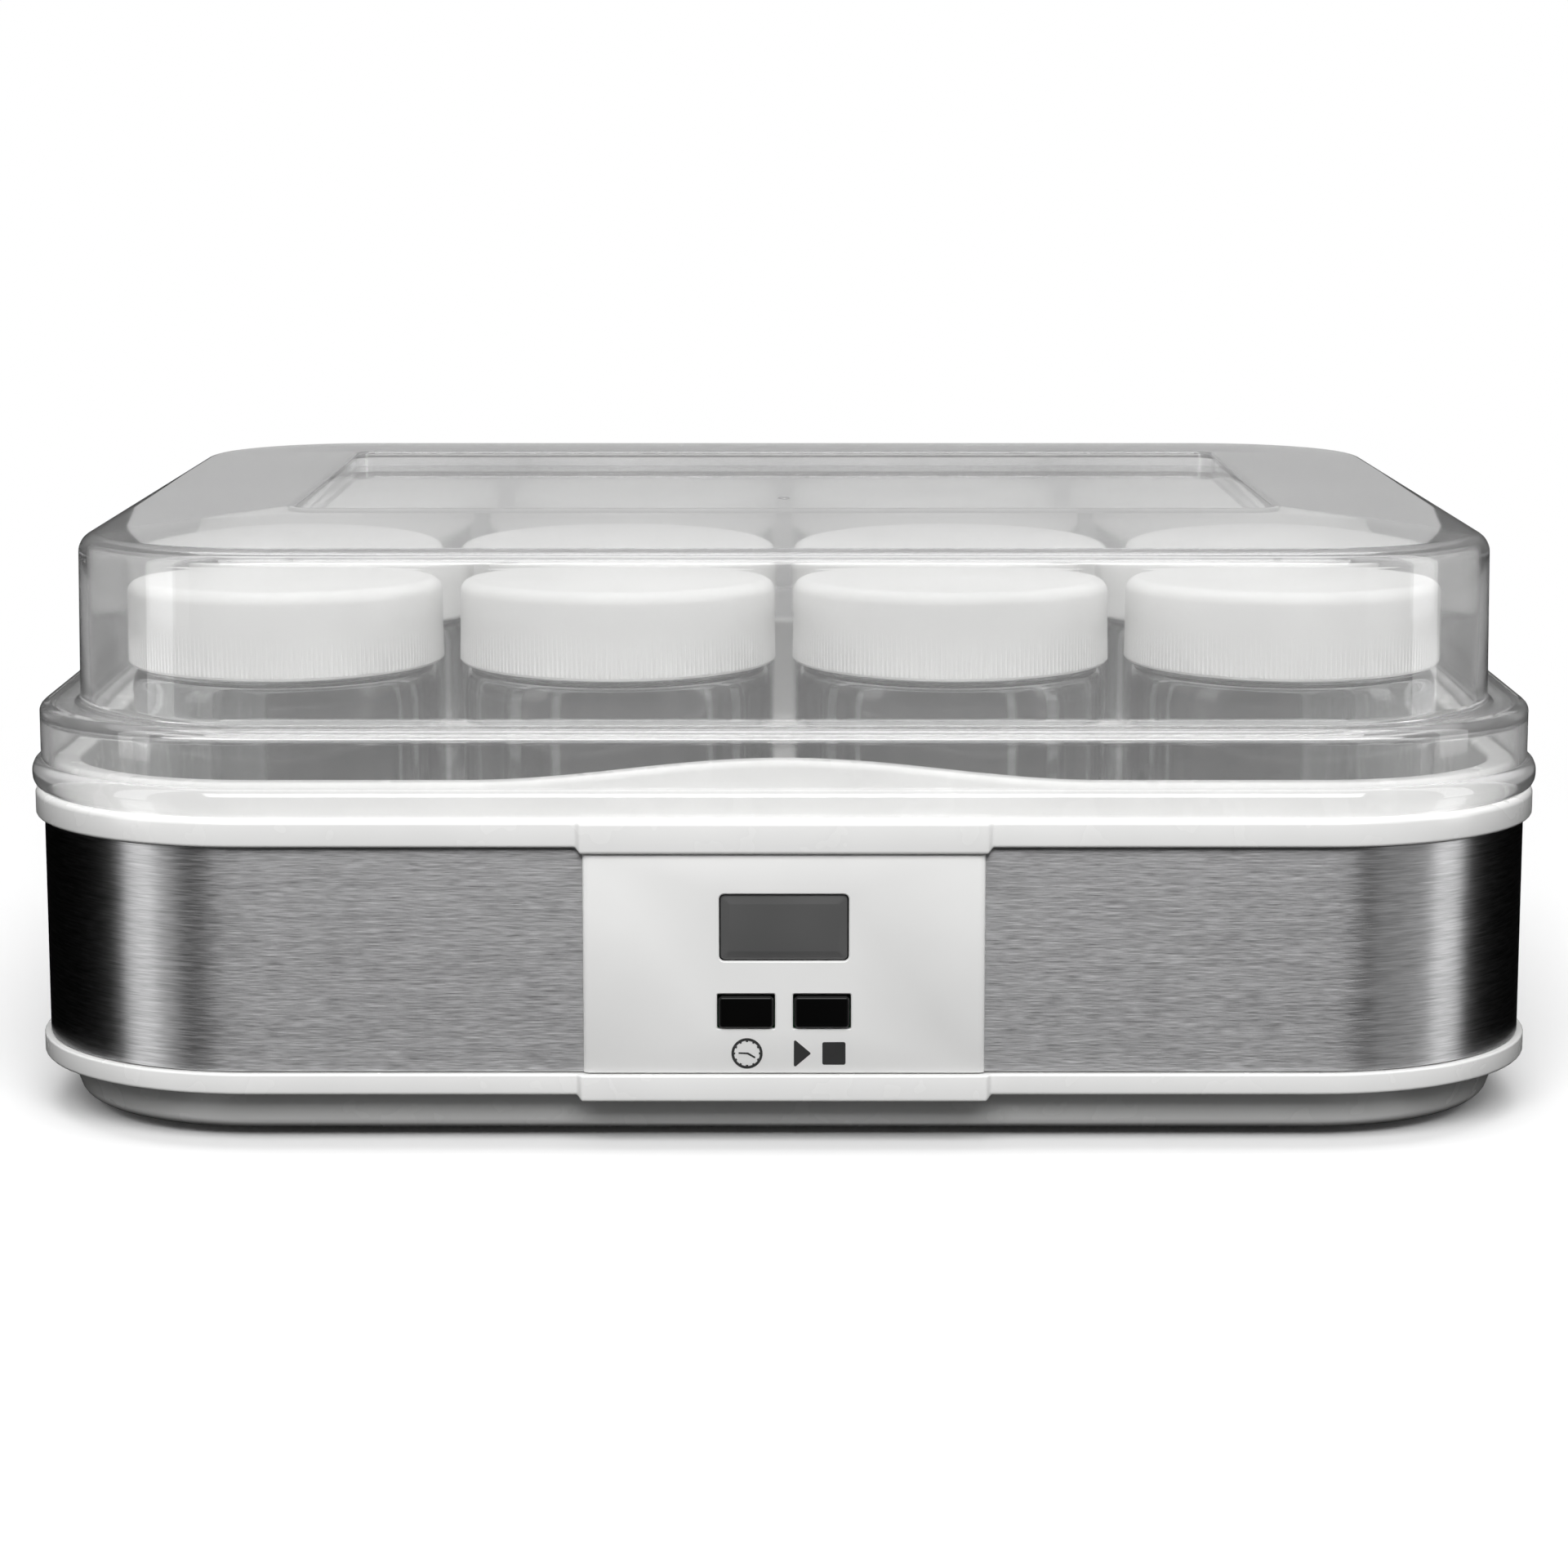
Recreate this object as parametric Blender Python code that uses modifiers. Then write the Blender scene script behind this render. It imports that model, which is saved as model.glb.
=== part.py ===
"""Yogurt maker: a heated tub of twelve capped glass jars under a clear lid.

Metres, +Z up. The origin is the middle of the footprint, on the surface it stands on.
The front, with the control panel, faces -Y.
"""
import math

import bmesh
import bpy
from mathutils import Vector

# ---- driving sizes -------------------------------------------------------------
GAP = 0.0003                # clearance between two pieces that touch on the real object
CORNER_STEPS = 8            # facets in each rounded corner of the housing and the lid
ROUND_SIDES = 20            # facets of a jar or a cap
SMALL_SIDES = 16            # facets of a foot, screw, boss or bush
OVERLAP = 0.001             # how far a joined boss or pad reaches into its wall

# jars and their places
JAR_COLUMNS = 4
JAR_ROWS = ("front", "middle", "back")
CAP_RADIUS = 0.037
CAP_WALL = 0.0016
CAP_HEIGHT = 0.0205
CAP_EDGE = 0.0012
THREAD_CLEARANCE = 0.0011   # cap's inside to the jar's neck
JAR_UNDER_CAP = 0.00075     # jar's body is this much smaller than its cap, in radius
JAR_WALL = 0.003
JAR_HEIGHT = 0.0778
JAR_NECK_HEIGHT = 0.0206
JAR_SHOULDER = 0.004
JAR_FOOT = 0.0025
COLUMN_SPACE = 0.004        # between neighbouring caps
ROW_SPACE = 0.021
SIDE_MARGIN = 0.02025       # jars to the outside of the band, at the ends
FRONT_MARGIN = 0.02075      # the same at the front and the back

# bottom tray
BODY_CORNER = 0.053         # corner of the band, seen from above
FOOT_HEIGHT = 0.002         # how far the feet lift the tray
TRAY_WALL = 0.0025
TRAY_FOOT_INSET = 0.0115    # edge of the flat bottom, inside the band's outside
TRAY_TURN_INSET = 0.0075    # where the bottom turns up into the tapered side
TRAY_TURN_HEIGHT = 0.0025
TRAY_SIDE_INSET = 0.00425   # top of the tapered side
TRAY_TAPER_HEIGHT = 0.0103
TRAY_RIM_HEIGHT = 0.0049
TRAY_RIM_PROUD = 0.0015
LIP_HEIGHT = 0.004          # upstands that hold the band from inside
LIP_WALL = 0.0022
VENT_SIZE = (0.050, 0.0025)
VENT_PITCH = 0.007
VENT_COUNT = 6
VENT_Y = -0.020

# band and control panel, from the band's lower edge upwards
BAND_WALL = 0.0008
ICON_STRIP = 0.01055
BUTTON_HEIGHT = 0.0073
WINDOW_SPACE = 0.0078
WINDOW_HEIGHT = 0.0153
PANEL_HEAD = 0.01025
BUTTON_WIDTH = 0.0123
BUTTON_SPACING = 0.017
BUTTON_PROUD = 0.001
BUTTON_TRAVEL = 0.0008
BUTTON_EDGE = 0.0006
WINDOW_WIDTH = 0.029
WINDOW_SINK = 0.0003
PANEL_WIDTH = 0.090
PANEL_FACE = 0.0013         # thickness in front of the band
PANEL_EDGE = 0.0008
PLUG_MARGIN = 0.005         # face beyond the plug that goes through the band
PLUG_LIP = 0.004            # the same above and below
PLUG_DEPTH = 0.0015         # plug behind the band's outside
PAD_MARGIN = 0.001          # rim pads beyond the panel
TRAY_PAD_PROUD = 0.0012
TUB_PAD_PROUD = 0.001
POST_RADIUS = 0.002         # panel posts that carry the control board
POST_LENGTH = 0.003
BOARD_THICKNESS = 0.0012
BOARD_SIDE_MARGIN = 0.003   # control board to the plug's edge
BOARD_END_MARGIN = 0.0016
BOARD_POST_INSET = 0.003
LCD_MARGIN = 0.0025
SWITCH_SIZE = 0.006
SWITCH_THICKNESS = 0.0014

# tub
RIM_HEIGHT = 0.0063         # white rim over the band
RIM_PROUD = 0.002
RIM_EDGE = 0.0008
TUB_WALL = 0.0025
TUB_LIP_RISE = 0.0077       # lip above the rim
TUB_LIP_OUTER = 0.0025       # lip's two faces, inside the band's outside
TUB_LIP_INNER = 0.009
TUB_LIP_EDGE = 0.0015
TUB_DRAFT = 0.005           # how much the well narrows down to its floor
TUB_FLOOR_TURN = 0.004
HUMP_HEIGHT = 0.005         # raised middle of the front lip
HUMP_HALF_WIDTH = 0.072
HUMP_STEPS = 8
SERVICE_SPACE = 0.0365      # tray's floor to the tub's underside

# lid
LID_WALL = 0.002
LID_BEAD_HEIGHT = 0.0067
LID_BEAD_PROUD = 0.0026
LID_BEAD_EDGE = 0.0015
LID_SKIRT_PROUD = 0.0005
LID_SKIRT_HEIGHT = 0.0197   # foot of the lid to its ledge
LID_EDGE = 0.002
LID_STEP_X = 0.0095         # band's outside to the lid's upper box
LID_STEP_Y = 0.008
LID_UPPER_CORNER = 0.045
LID_TOP_ROUND = 0.0045
LID_DRAFT = 0.0005
RECESS_SIDE_MARGIN = 0.043
RECESS_FRONT_MARGIN = 0.095
RECESS_BACK_MARGIN = 0.031
RECESS_CORNER = 0.006
RECESS_SINK = 0.004
CAP_CLEARANCE = 0.005       # caps to the underside of the recess

# heater under the tub
PLATE_SIDE_MARGIN = 0.0455  # plate's edge inside the band's outside
PLATE_END_MARGIN = 0.052
PLATE_THICKNESS = 0.0015
HEATER_RADIUS = 0.0015
HEATER_RUNS = 6
HEATER_PITCH = 0.032
HEATER_END_MARGIN = 0.036   # plate's edge to where a run turns back
TURN_STEPS = 6
SENSOR_SIZE = (0.012, 0.008, 0.004)
SENSOR_X = 0.050
CUTOUT_SIZE = (0.022, 0.014, 0.008)
LEAD_RADIUS = 0.0012

# power board
POWER_BOARD_SIZE = (0.090, 0.060)
POWER_BOARD_Y = 0.060
STANDOFF_HEIGHT = 0.005
STANDOFF_RADIUS = 0.003
STANDOFF_INSET = 0.005
TERMINAL_PLACE = (-0.028, -0.018)
BOARD_LAYOUT = (            # name, size, place on the board
    ("transformer", (0.030, 0.026, 0.018), (0.022, 0.010)),
    ("relay", (0.019, 0.015, 0.015), (-0.012, 0.012)),
    ("terminal_block", (0.020, 0.010, 0.011), TERMINAL_PLACE),
)
CAPACITOR_RADIUS = 0.005
CAPACITOR_HEIGHT = 0.014
CAPACITOR_PLACE = (-0.034, 0.014)
RIBBON_WIDTH = 0.012
RIBBON_THICKNESS = 0.0008

# feet, housing screws and cord inlet
FOOT_RADIUS = 0.009
FOOT_EDGE = 0.0004
FOOT_STEM_RADIUS = 0.0028
FOOT_BARB_RADIUS = 0.0042
FOOT_BARB_HEIGHT = 0.0015
FOOT_INSET_X = 0.0585
FOOT_INSET_Y = 0.057
SCREW_RADIUS = 0.0016
SCREW_HEAD_RADIUS = 0.0032
SCREW_HEAD_HEIGHT = 0.0018
SCREW_SINK = 0.0035         # depth of the well for the head
SCREW_GRIP = 0.012
BOSS_RADIUS = 0.0065
BOSS_HEIGHT = 0.003
TUB_POST_RADIUS = 0.0045
TUB_POST_INSET_X = 0.0335
TUB_POST_Y = 0.060
INLET_X = -0.090
INLET_LIFT = 0.012          # inlet's axis above the band's lower edge
INLET_FLANGE_RADIUS = 0.0085
INLET_FLANGE = 0.0015
INLET_NECK_RADIUS = 0.006
INLET_BORE_RADIUS = 0.0035
INLET_LENGTH = 0.009

# ---- sizes and levels worked out from them -----------------------------------------
JAR_RADIUS = CAP_RADIUS - JAR_UNDER_CAP
NECK_RADIUS = CAP_RADIUS - CAP_WALL - THREAD_CLEARANCE
COLUMN_PITCH = 2 * CAP_RADIUS + COLUMN_SPACE
ROW_PITCH = 2 * CAP_RADIUS + ROW_SPACE
BODY_WIDTH = (JAR_COLUMNS - 1) * COLUMN_PITCH + 2 * (JAR_RADIUS + SIDE_MARGIN)
BODY_DEPTH = (len(JAR_ROWS) - 1) * ROW_PITCH + 2 * (JAR_RADIUS + FRONT_MARGIN)
BAND_HEIGHT = ICON_STRIP + BUTTON_HEIGHT + WINDOW_SPACE + WINDOW_HEIGHT + PANEL_HEAD
LIP_OUTSET = -(BAND_WALL + GAP)

TRAY_BOTTOM = FOOT_HEIGHT
TRAY_FLOOR = TRAY_BOTTOM + TRAY_WALL
TRAY_RIM_BOTTOM = TRAY_BOTTOM + TRAY_TAPER_HEIGHT
TRAY_RIM_TOP = TRAY_RIM_BOTTOM + TRAY_RIM_HEIGHT
BAND_BOTTOM = TRAY_RIM_TOP + GAP
BAND_TOP = BAND_BOTTOM + BAND_HEIGHT
RIM_BOTTOM = BAND_TOP + GAP
RIM_TOP = RIM_BOTTOM + RIM_HEIGHT
TUB_LIP_TOP = RIM_TOP + TUB_LIP_RISE
TUB_UNDERSIDE = TRAY_FLOOR + SERVICE_SPACE
TUB_FLOOR = TUB_UNDERSIDE + TUB_WALL
JAR_BOTTOM = TUB_FLOOR + GAP
CAP_TOP = JAR_BOTTOM + JAR_HEIGHT + GAP + CAP_WALL
CAP_BOTTOM = CAP_TOP - CAP_HEIGHT
RECESS_FLOOR = CAP_TOP + CAP_CLEARANCE + LID_WALL
LID_TOP = RECESS_FLOOR + RECESS_SINK
LID_BOTTOM = RIM_TOP + GAP
LEDGE_TOP = LID_BOTTOM + LID_SKIRT_HEIGHT
LID_UPPER_WIDTH = BODY_WIDTH - 2 * LID_STEP_X
LID_UPPER_DEPTH = BODY_DEPTH - 2 * LID_STEP_Y
RECESS_WIDTH = LID_UPPER_WIDTH - 2 * RECESS_SIDE_MARGIN
RECESS_DEPTH = LID_UPPER_DEPTH - RECESS_FRONT_MARGIN - RECESS_BACK_MARGIN
RECESS_SHIFT = (RECESS_FRONT_MARGIN - RECESS_BACK_MARGIN) / 2

BAND_FRONT = -BODY_DEPTH / 2
FACE_BACK = BAND_FRONT - GAP
PANEL_FRONT = FACE_BACK - PANEL_FACE
PANEL_BACK = BAND_FRONT + PLUG_DEPTH
PLUG_WIDTH = PANEL_WIDTH - 2 * PLUG_MARGIN
PLUG_HEIGHT = BAND_HEIGHT - 2 * PLUG_LIP
PANEL_MIDDLE = BAND_BOTTOM + BAND_HEIGHT / 2
BUTTON_LEVEL = BAND_BOTTOM + ICON_STRIP + BUTTON_HEIGHT / 2
WINDOW_LEVEL = BAND_TOP - PANEL_HEAD - WINDOW_HEIGHT / 2
BOARD_FRONT = PANEL_BACK + POST_LENGTH + GAP
BOARD_BACK = BOARD_FRONT + BOARD_THICKNESS
BOARD_WIDTH = PLUG_WIDTH - 2 * BOARD_SIDE_MARGIN
BOARD_HEIGHT = PLUG_HEIGHT - 2 * BOARD_END_MARGIN
SWITCH_FRONT = BOARD_FRONT - GAP - SWITCH_THICKNESS

PLATE_WIDTH = BODY_WIDTH - 2 * PLATE_SIDE_MARGIN
PLATE_DEPTH = BODY_DEPTH - 2 * PLATE_END_MARGIN
PLATE_UNDERSIDE = TUB_UNDERSIDE - GAP - PLATE_THICKNESS
POWER_BOARD_BOTTOM = TRAY_FLOOR + STANDOFF_HEIGHT + GAP
POWER_BOARD_TOP = POWER_BOARD_BOTTOM + BOARD_THICKNESS
BOSS_TOP = TRAY_FLOOR + BOSS_HEIGHT
TUB_POST_BOTTOM = BOSS_TOP + GAP
SCREW_SEAT = TRAY_BOTTOM + SCREW_SINK
POST_X = BODY_WIDTH / 2 - TUB_POST_INSET_X
FOOT_X = BODY_WIDTH / 2 - FOOT_INSET_X
FOOT_Y = BODY_DEPTH / 2 - FOOT_INSET_Y
CORNERS = (("front_left", -1, -1), ("front_right", 1, -1), ("back_left", -1, 1), ("back_right", 1, 1))

PARTS = bpy.data.collections.new("yogurt_maker")
CUTTERS = bpy.data.collections.new("cutters")


# ---- modelling helpers -----------------------------------------------------------
def clear_scene():
    for old in list(bpy.data.objects):
        bpy.data.objects.remove(old, do_unlink=True)
    for collection in (PARTS, CUTTERS):
        bpy.context.scene.collection.children.link(collection)


def finish_material(name, colour, roughness, metallic=0.0, alpha=1.0):
    made = bpy.data.materials.new(name)
    made.use_nodes = True
    shader = made.node_tree.nodes["Principled BSDF"]
    shader.inputs["Base Color"].default_value = (*colour, 1.0)
    shader.inputs["Roughness"].default_value = roughness
    shader.inputs["Metallic"].default_value = metallic
    shader.inputs["Alpha"].default_value = alpha
    return made


def add_object(name, data, finish=None, location=(0, 0, 0)):
    """A part when it has a finish, a hidden cutter when it has none."""
    made = bpy.data.objects.new(name, data)
    made.location = location
    if finish is None:
        CUTTERS.objects.link(made)
        made.hide_render = True
        made.display_type = "WIRE"
    else:
        PARTS.objects.link(made)
        if not data.materials:
            data.materials.append(finish)
    return made


def mesh_from(bm, name):
    mesh = bpy.data.meshes.new(name)
    bmesh.ops.recalc_face_normals(bm, faces=bm.faces)
    bm.to_mesh(mesh)
    bm.free()
    return mesh


def shade_round(mesh):
    mesh.shade_smooth()
    mesh.set_sharp_from_angle(angle=math.radians(35))


def box(name, size, location, finish=None, edge=0.0):
    bm = bmesh.new()
    bmesh.ops.create_cube(bm, size=1.0)
    bmesh.ops.scale(bm, vec=Vector(size), verts=bm.verts)
    made = add_object(name, mesh_from(bm, name), finish, location)
    if edge:
        bevel = made.modifiers.new("edges", "BEVEL")
        bevel.width = edge
        bevel.segments = 2
    return made


def cylinder(name, radius, height, location, finish=None, along="Z", sides=SMALL_SIDES):
    bm = bmesh.new()
    bmesh.ops.create_cone(bm, cap_ends=True, segments=sides, radius1=radius, radius2=radius, depth=height)
    made = add_object(name, mesh_from(bm, name), finish, location)
    if along == "Y":
        made.rotation_euler.x = math.radians(-90)
    shade_round(made.data)
    return made


def turned_mesh(name, profile, closed=False):
    """Profile points (radius, height), down the outer side; closed is for a ring."""
    bm = bmesh.new()
    verts = [bm.verts.new((radius, 0, height)) for radius, height in profile]
    for upper, lower in zip(verts, verts[1:]):
        bm.edges.new((upper, lower))
    if closed:
        bm.edges.new((verts[-1], verts[0]))
    mesh = bpy.data.meshes.new(name)
    bm.to_mesh(mesh)
    bm.free()
    return mesh


def turned(name, mesh, finish, location, sides=ROUND_SIDES):
    made = add_object(name, mesh, finish, location)
    screw = made.modifiers.new("turn", "SCREW")
    screw.steps = screw.render_steps = sides
    screw.use_merge_vertices = True
    screw.merge_threshold = 0.00001
    screw.use_smooth_shade = False
    return made


def ring(level, width, depth, radius, shift=0.0, front_steps=0, rise=0.0):
    """Rounded rectangle at one level; rise lifts the middle of its front side."""
    points = []
    for side_x, side_y, start in ((1, -1, -90), (1, 1, 0), (-1, 1, 90), (-1, -1, 180)):
        centre_x = side_x * (width / 2 - radius)
        centre_y = side_y * (depth / 2 - radius) + shift
        for step in range(CORNER_STEPS + 1):
            angle = math.radians(start + 90 * step / CORNER_STEPS)
            across = centre_x + radius * math.cos(angle)
            along = centre_y + radius * math.sin(angle)
            points.append((across, along, level))
    for step in range(front_steps + 1 if front_steps else 0):
        part = 2 * step / front_steps - 1
        lift = rise * (1 + math.cos(math.pi * part)) / 2
        points.append((part * HUMP_HALF_WIDTH, shift - depth / 2, level + lift))
    return points


def body_ring(level, outset, **front):
    """A ring that follows the band's outside, moved outwards by outset."""
    return ring(level, BODY_WIDTH + 2 * outset, BODY_DEPTH + 2 * outset, BODY_CORNER + outset, **front)


def loft(name, rings, finish, closed=False):
    """Skin through the rings in order, with flat ends or closed on itself."""
    bm = bmesh.new()
    loops = [[bm.verts.new(point) for point in points] for points in rings]
    pairs = list(zip(loops, loops[1:]))
    if closed:
        pairs.append((loops[-1], loops[0]))
    else:
        bm.faces.new(loops[0])
        bm.faces.new(loops[-1])
    for near, far in pairs:
        for index in range(len(near)):
            bm.faces.new((near[index - 1], near[index], far[index], far[index - 1]))
    made = add_object(name, mesh_from(bm, name), finish)
    shade_round(made.data)
    return made


def combine(target, tool, operation):
    modifier = target.modifiers.new(tool.name, "BOOLEAN")
    modifier.operation = operation
    modifier.object = tool
    modifier.solver = "EXACT"


def wire(name, points, radius, finish):
    data = bpy.data.curves.new(name, "CURVE")
    data.dimensions = "3D"
    data.bevel_depth = radius
    data.bevel_resolution = 2
    data.use_fill_caps = True
    spline = data.splines.new("POLY")
    spline.points.add(len(points) - 1)
    for spline_point, point in zip(spline.points, points):
        spline_point.co = (*point, 1.0)
    return add_object(name, data, finish)


# ---- housing ---------------------------------------------------------------------
def make_tray(finish):
    """Base shell: flat bottom, tapered side, proud rim and the upstand behind the band."""
    inside = -TRAY_WALL
    tray = loft("bottom_tray", [
        body_ring(TRAY_BOTTOM, -TRAY_FOOT_INSET),
        body_ring(TRAY_BOTTOM + TRAY_TURN_HEIGHT, -TRAY_TURN_INSET),
        body_ring(TRAY_RIM_BOTTOM, -TRAY_SIDE_INSET),
        body_ring(TRAY_RIM_BOTTOM, TRAY_RIM_PROUD),
        body_ring(TRAY_RIM_TOP, TRAY_RIM_PROUD),
        body_ring(TRAY_RIM_TOP, LIP_OUTSET),
        body_ring(TRAY_RIM_TOP + LIP_HEIGHT, LIP_OUTSET),
        body_ring(TRAY_RIM_TOP + LIP_HEIGHT, LIP_OUTSET - LIP_WALL),
        body_ring(TRAY_RIM_TOP, LIP_OUTSET - LIP_WALL),
        body_ring(TRAY_RIM_BOTTOM, inside - TRAY_SIDE_INSET),
        body_ring(TRAY_FLOOR + TRAY_TURN_HEIGHT, inside - TRAY_TURN_INSET),
        body_ring(TRAY_FLOOR, inside - TRAY_FOOT_INSET),
    ], finish)
    pad_depth = TRAY_PAD_PROUD + OVERLAP
    pad_y = BAND_FRONT - TRAY_RIM_PROUD + OVERLAP - pad_depth / 2
    pad = box("tray_pad", (PANEL_WIDTH + 2 * PAD_MARGIN, pad_depth, TRAY_RIM_HEIGHT),
              (0, pad_y, TRAY_RIM_BOTTOM + TRAY_RIM_HEIGHT / 2), edge=PANEL_EDGE)
    combine(tray, pad, "UNION")
    for name, side_x, side_y in CORNERS:
        post_x, post_y = side_x * POST_X, side_y * TUB_POST_Y
        foot_x, foot_y = side_x * FOOT_X, side_y * FOOT_Y
        boss_low = TRAY_FLOOR - OVERLAP
        boss = cylinder("boss_" + name, BOSS_RADIUS, BOSS_TOP - boss_low,
                        (post_x, post_y, (BOSS_TOP + boss_low) / 2))
        combine(tray, boss, "UNION")
        well_low = TRAY_BOTTOM - OVERLAP
        well = cylinder("well_" + name, SCREW_HEAD_RADIUS + GAP, SCREW_SEAT - well_low,
                        (post_x, post_y, (SCREW_SEAT + well_low) / 2))
        combine(tray, well, "DIFFERENCE")
        hole_low, hole_high = SCREW_SEAT - OVERLAP, BOSS_TOP + OVERLAP
        hole = cylinder("screw_hole_" + name, SCREW_RADIUS + GAP, hole_high - hole_low,
                        (post_x, post_y, (hole_high + hole_low) / 2))
        combine(tray, hole, "DIFFERENCE")
        stem_hole = cylinder("foot_hole_" + name, FOOT_STEM_RADIUS + GAP, TRAY_WALL + 2 * OVERLAP,
                             (foot_x, foot_y, TRAY_BOTTOM + TRAY_WALL / 2))
        combine(tray, stem_hole, "DIFFERENCE")
        board_x = side_x * (POWER_BOARD_SIZE[0] / 2 - STANDOFF_INSET)
        board_y = POWER_BOARD_Y + side_y * (POWER_BOARD_SIZE[1] / 2 - STANDOFF_INSET)
        standoff = cylinder("standoff_" + name, STANDOFF_RADIUS, STANDOFF_HEIGHT + OVERLAP,
                            (board_x, board_y, TRAY_FLOOR + (STANDOFF_HEIGHT - OVERLAP) / 2))
        combine(tray, standoff, "UNION")
    for index in range(VENT_COUNT):
        vent_y = VENT_Y + (index - (VENT_COUNT - 1) / 2) * VENT_PITCH
        vent = box(f"vent_{index + 1}", (*VENT_SIZE, TRAY_WALL + 2 * OVERLAP),
                   (0, vent_y, TRAY_BOTTOM + TRAY_WALL / 2))
        combine(tray, vent, "DIFFERENCE")


def make_band(finish):
    band = loft("steel_band", [
        body_ring(BAND_BOTTOM, -BAND_WALL),
        body_ring(BAND_BOTTOM, 0),
        body_ring(BAND_TOP, 0),
        body_ring(BAND_TOP, -BAND_WALL),
    ], finish, closed=True)
    cut_depth = 2 * (BAND_WALL + OVERLAP)
    window = box("band_cutout", (PLUG_WIDTH + 2 * GAP, cut_depth, PLUG_HEIGHT + 2 * GAP),
                 (0, BAND_FRONT + BAND_WALL / 2, PANEL_MIDDLE))
    combine(band, window, "DIFFERENCE")
    inlet_hole = cylinder("inlet_hole", INLET_NECK_RADIUS + GAP, cut_depth,
                          (INLET_X, -BAND_FRONT - BAND_WALL / 2, BAND_BOTTOM + INLET_LIFT), along="Y")
    combine(band, inlet_hole, "DIFFERENCE")


def make_tub(finish):
    """Well for the jars, with the rim over the band and the lip that the lid fits round."""
    def lip_ring(level, outset, share=1.0):
        return body_ring(level, outset, front_steps=HUMP_STEPS, rise=HUMP_HEIGHT * share)

    def plain_ring(level, outset):
        return lip_ring(level, outset, share=0.0)

    floor_outset = -(TUB_LIP_INNER + TUB_DRAFT)
    channel_outset = LIP_OUTSET - LIP_WALL
    locating_bottom = RIM_BOTTOM - LIP_HEIGHT
    tub = loft("inner_tub", [
        plain_ring(TUB_UNDERSIDE, floor_outset + TUB_WALL - TUB_FLOOR_TURN),
        plain_ring(TUB_UNDERSIDE + TUB_FLOOR_TURN, floor_outset + TUB_WALL),
        plain_ring(RIM_TOP - TUB_WALL, -TUB_LIP_INNER + TUB_WALL),
        plain_ring(RIM_TOP - TUB_WALL, channel_outset),
        plain_ring(locating_bottom, channel_outset),
        plain_ring(locating_bottom, LIP_OUTSET),
        plain_ring(RIM_BOTTOM, LIP_OUTSET),
        plain_ring(RIM_BOTTOM, RIM_PROUD - RIM_EDGE),
        plain_ring(RIM_BOTTOM + RIM_EDGE, RIM_PROUD),
        plain_ring(RIM_TOP - RIM_EDGE, RIM_PROUD),
        plain_ring(RIM_TOP, RIM_PROUD - RIM_EDGE),
        plain_ring(RIM_TOP, -TUB_LIP_OUTER),
        lip_ring(TUB_LIP_TOP - TUB_LIP_EDGE, -TUB_LIP_OUTER),
        lip_ring(TUB_LIP_TOP, -TUB_LIP_OUTER - TUB_LIP_EDGE),
        lip_ring(TUB_LIP_TOP, -TUB_LIP_INNER + TUB_LIP_EDGE),
        lip_ring(TUB_LIP_TOP - TUB_LIP_EDGE, -TUB_LIP_INNER),
        plain_ring(TUB_FLOOR + TUB_FLOOR_TURN, floor_outset),
        plain_ring(TUB_FLOOR, floor_outset - TUB_FLOOR_TURN),
    ], finish)
    pad_depth = TUB_PAD_PROUD + OVERLAP
    pad_y = BAND_FRONT - RIM_PROUD + OVERLAP - pad_depth / 2
    pad = box("rim_pad", (PANEL_WIDTH + 2 * PAD_MARGIN, pad_depth, RIM_HEIGHT),
              (0, pad_y, RIM_BOTTOM + RIM_HEIGHT / 2), edge=PANEL_EDGE)
    combine(tub, pad, "UNION")
    for name, side_x, side_y in CORNERS:
        place = (side_x * POST_X, side_y * TUB_POST_Y)
        high = TUB_UNDERSIDE + OVERLAP
        post = cylinder("tub_post_" + name, TUB_POST_RADIUS, high - TUB_POST_BOTTOM,
                        (*place, (high + TUB_POST_BOTTOM) / 2))
        combine(tub, post, "UNION")
        low, high = TUB_POST_BOTTOM - OVERLAP, TUB_POST_BOTTOM + SCREW_GRIP + GAP
        pilot = cylinder("pilot_hole_" + name, SCREW_RADIUS + GAP, high - low,
                         (*place, (high + low) / 2))
        combine(tub, pilot, "DIFFERENCE")


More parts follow.
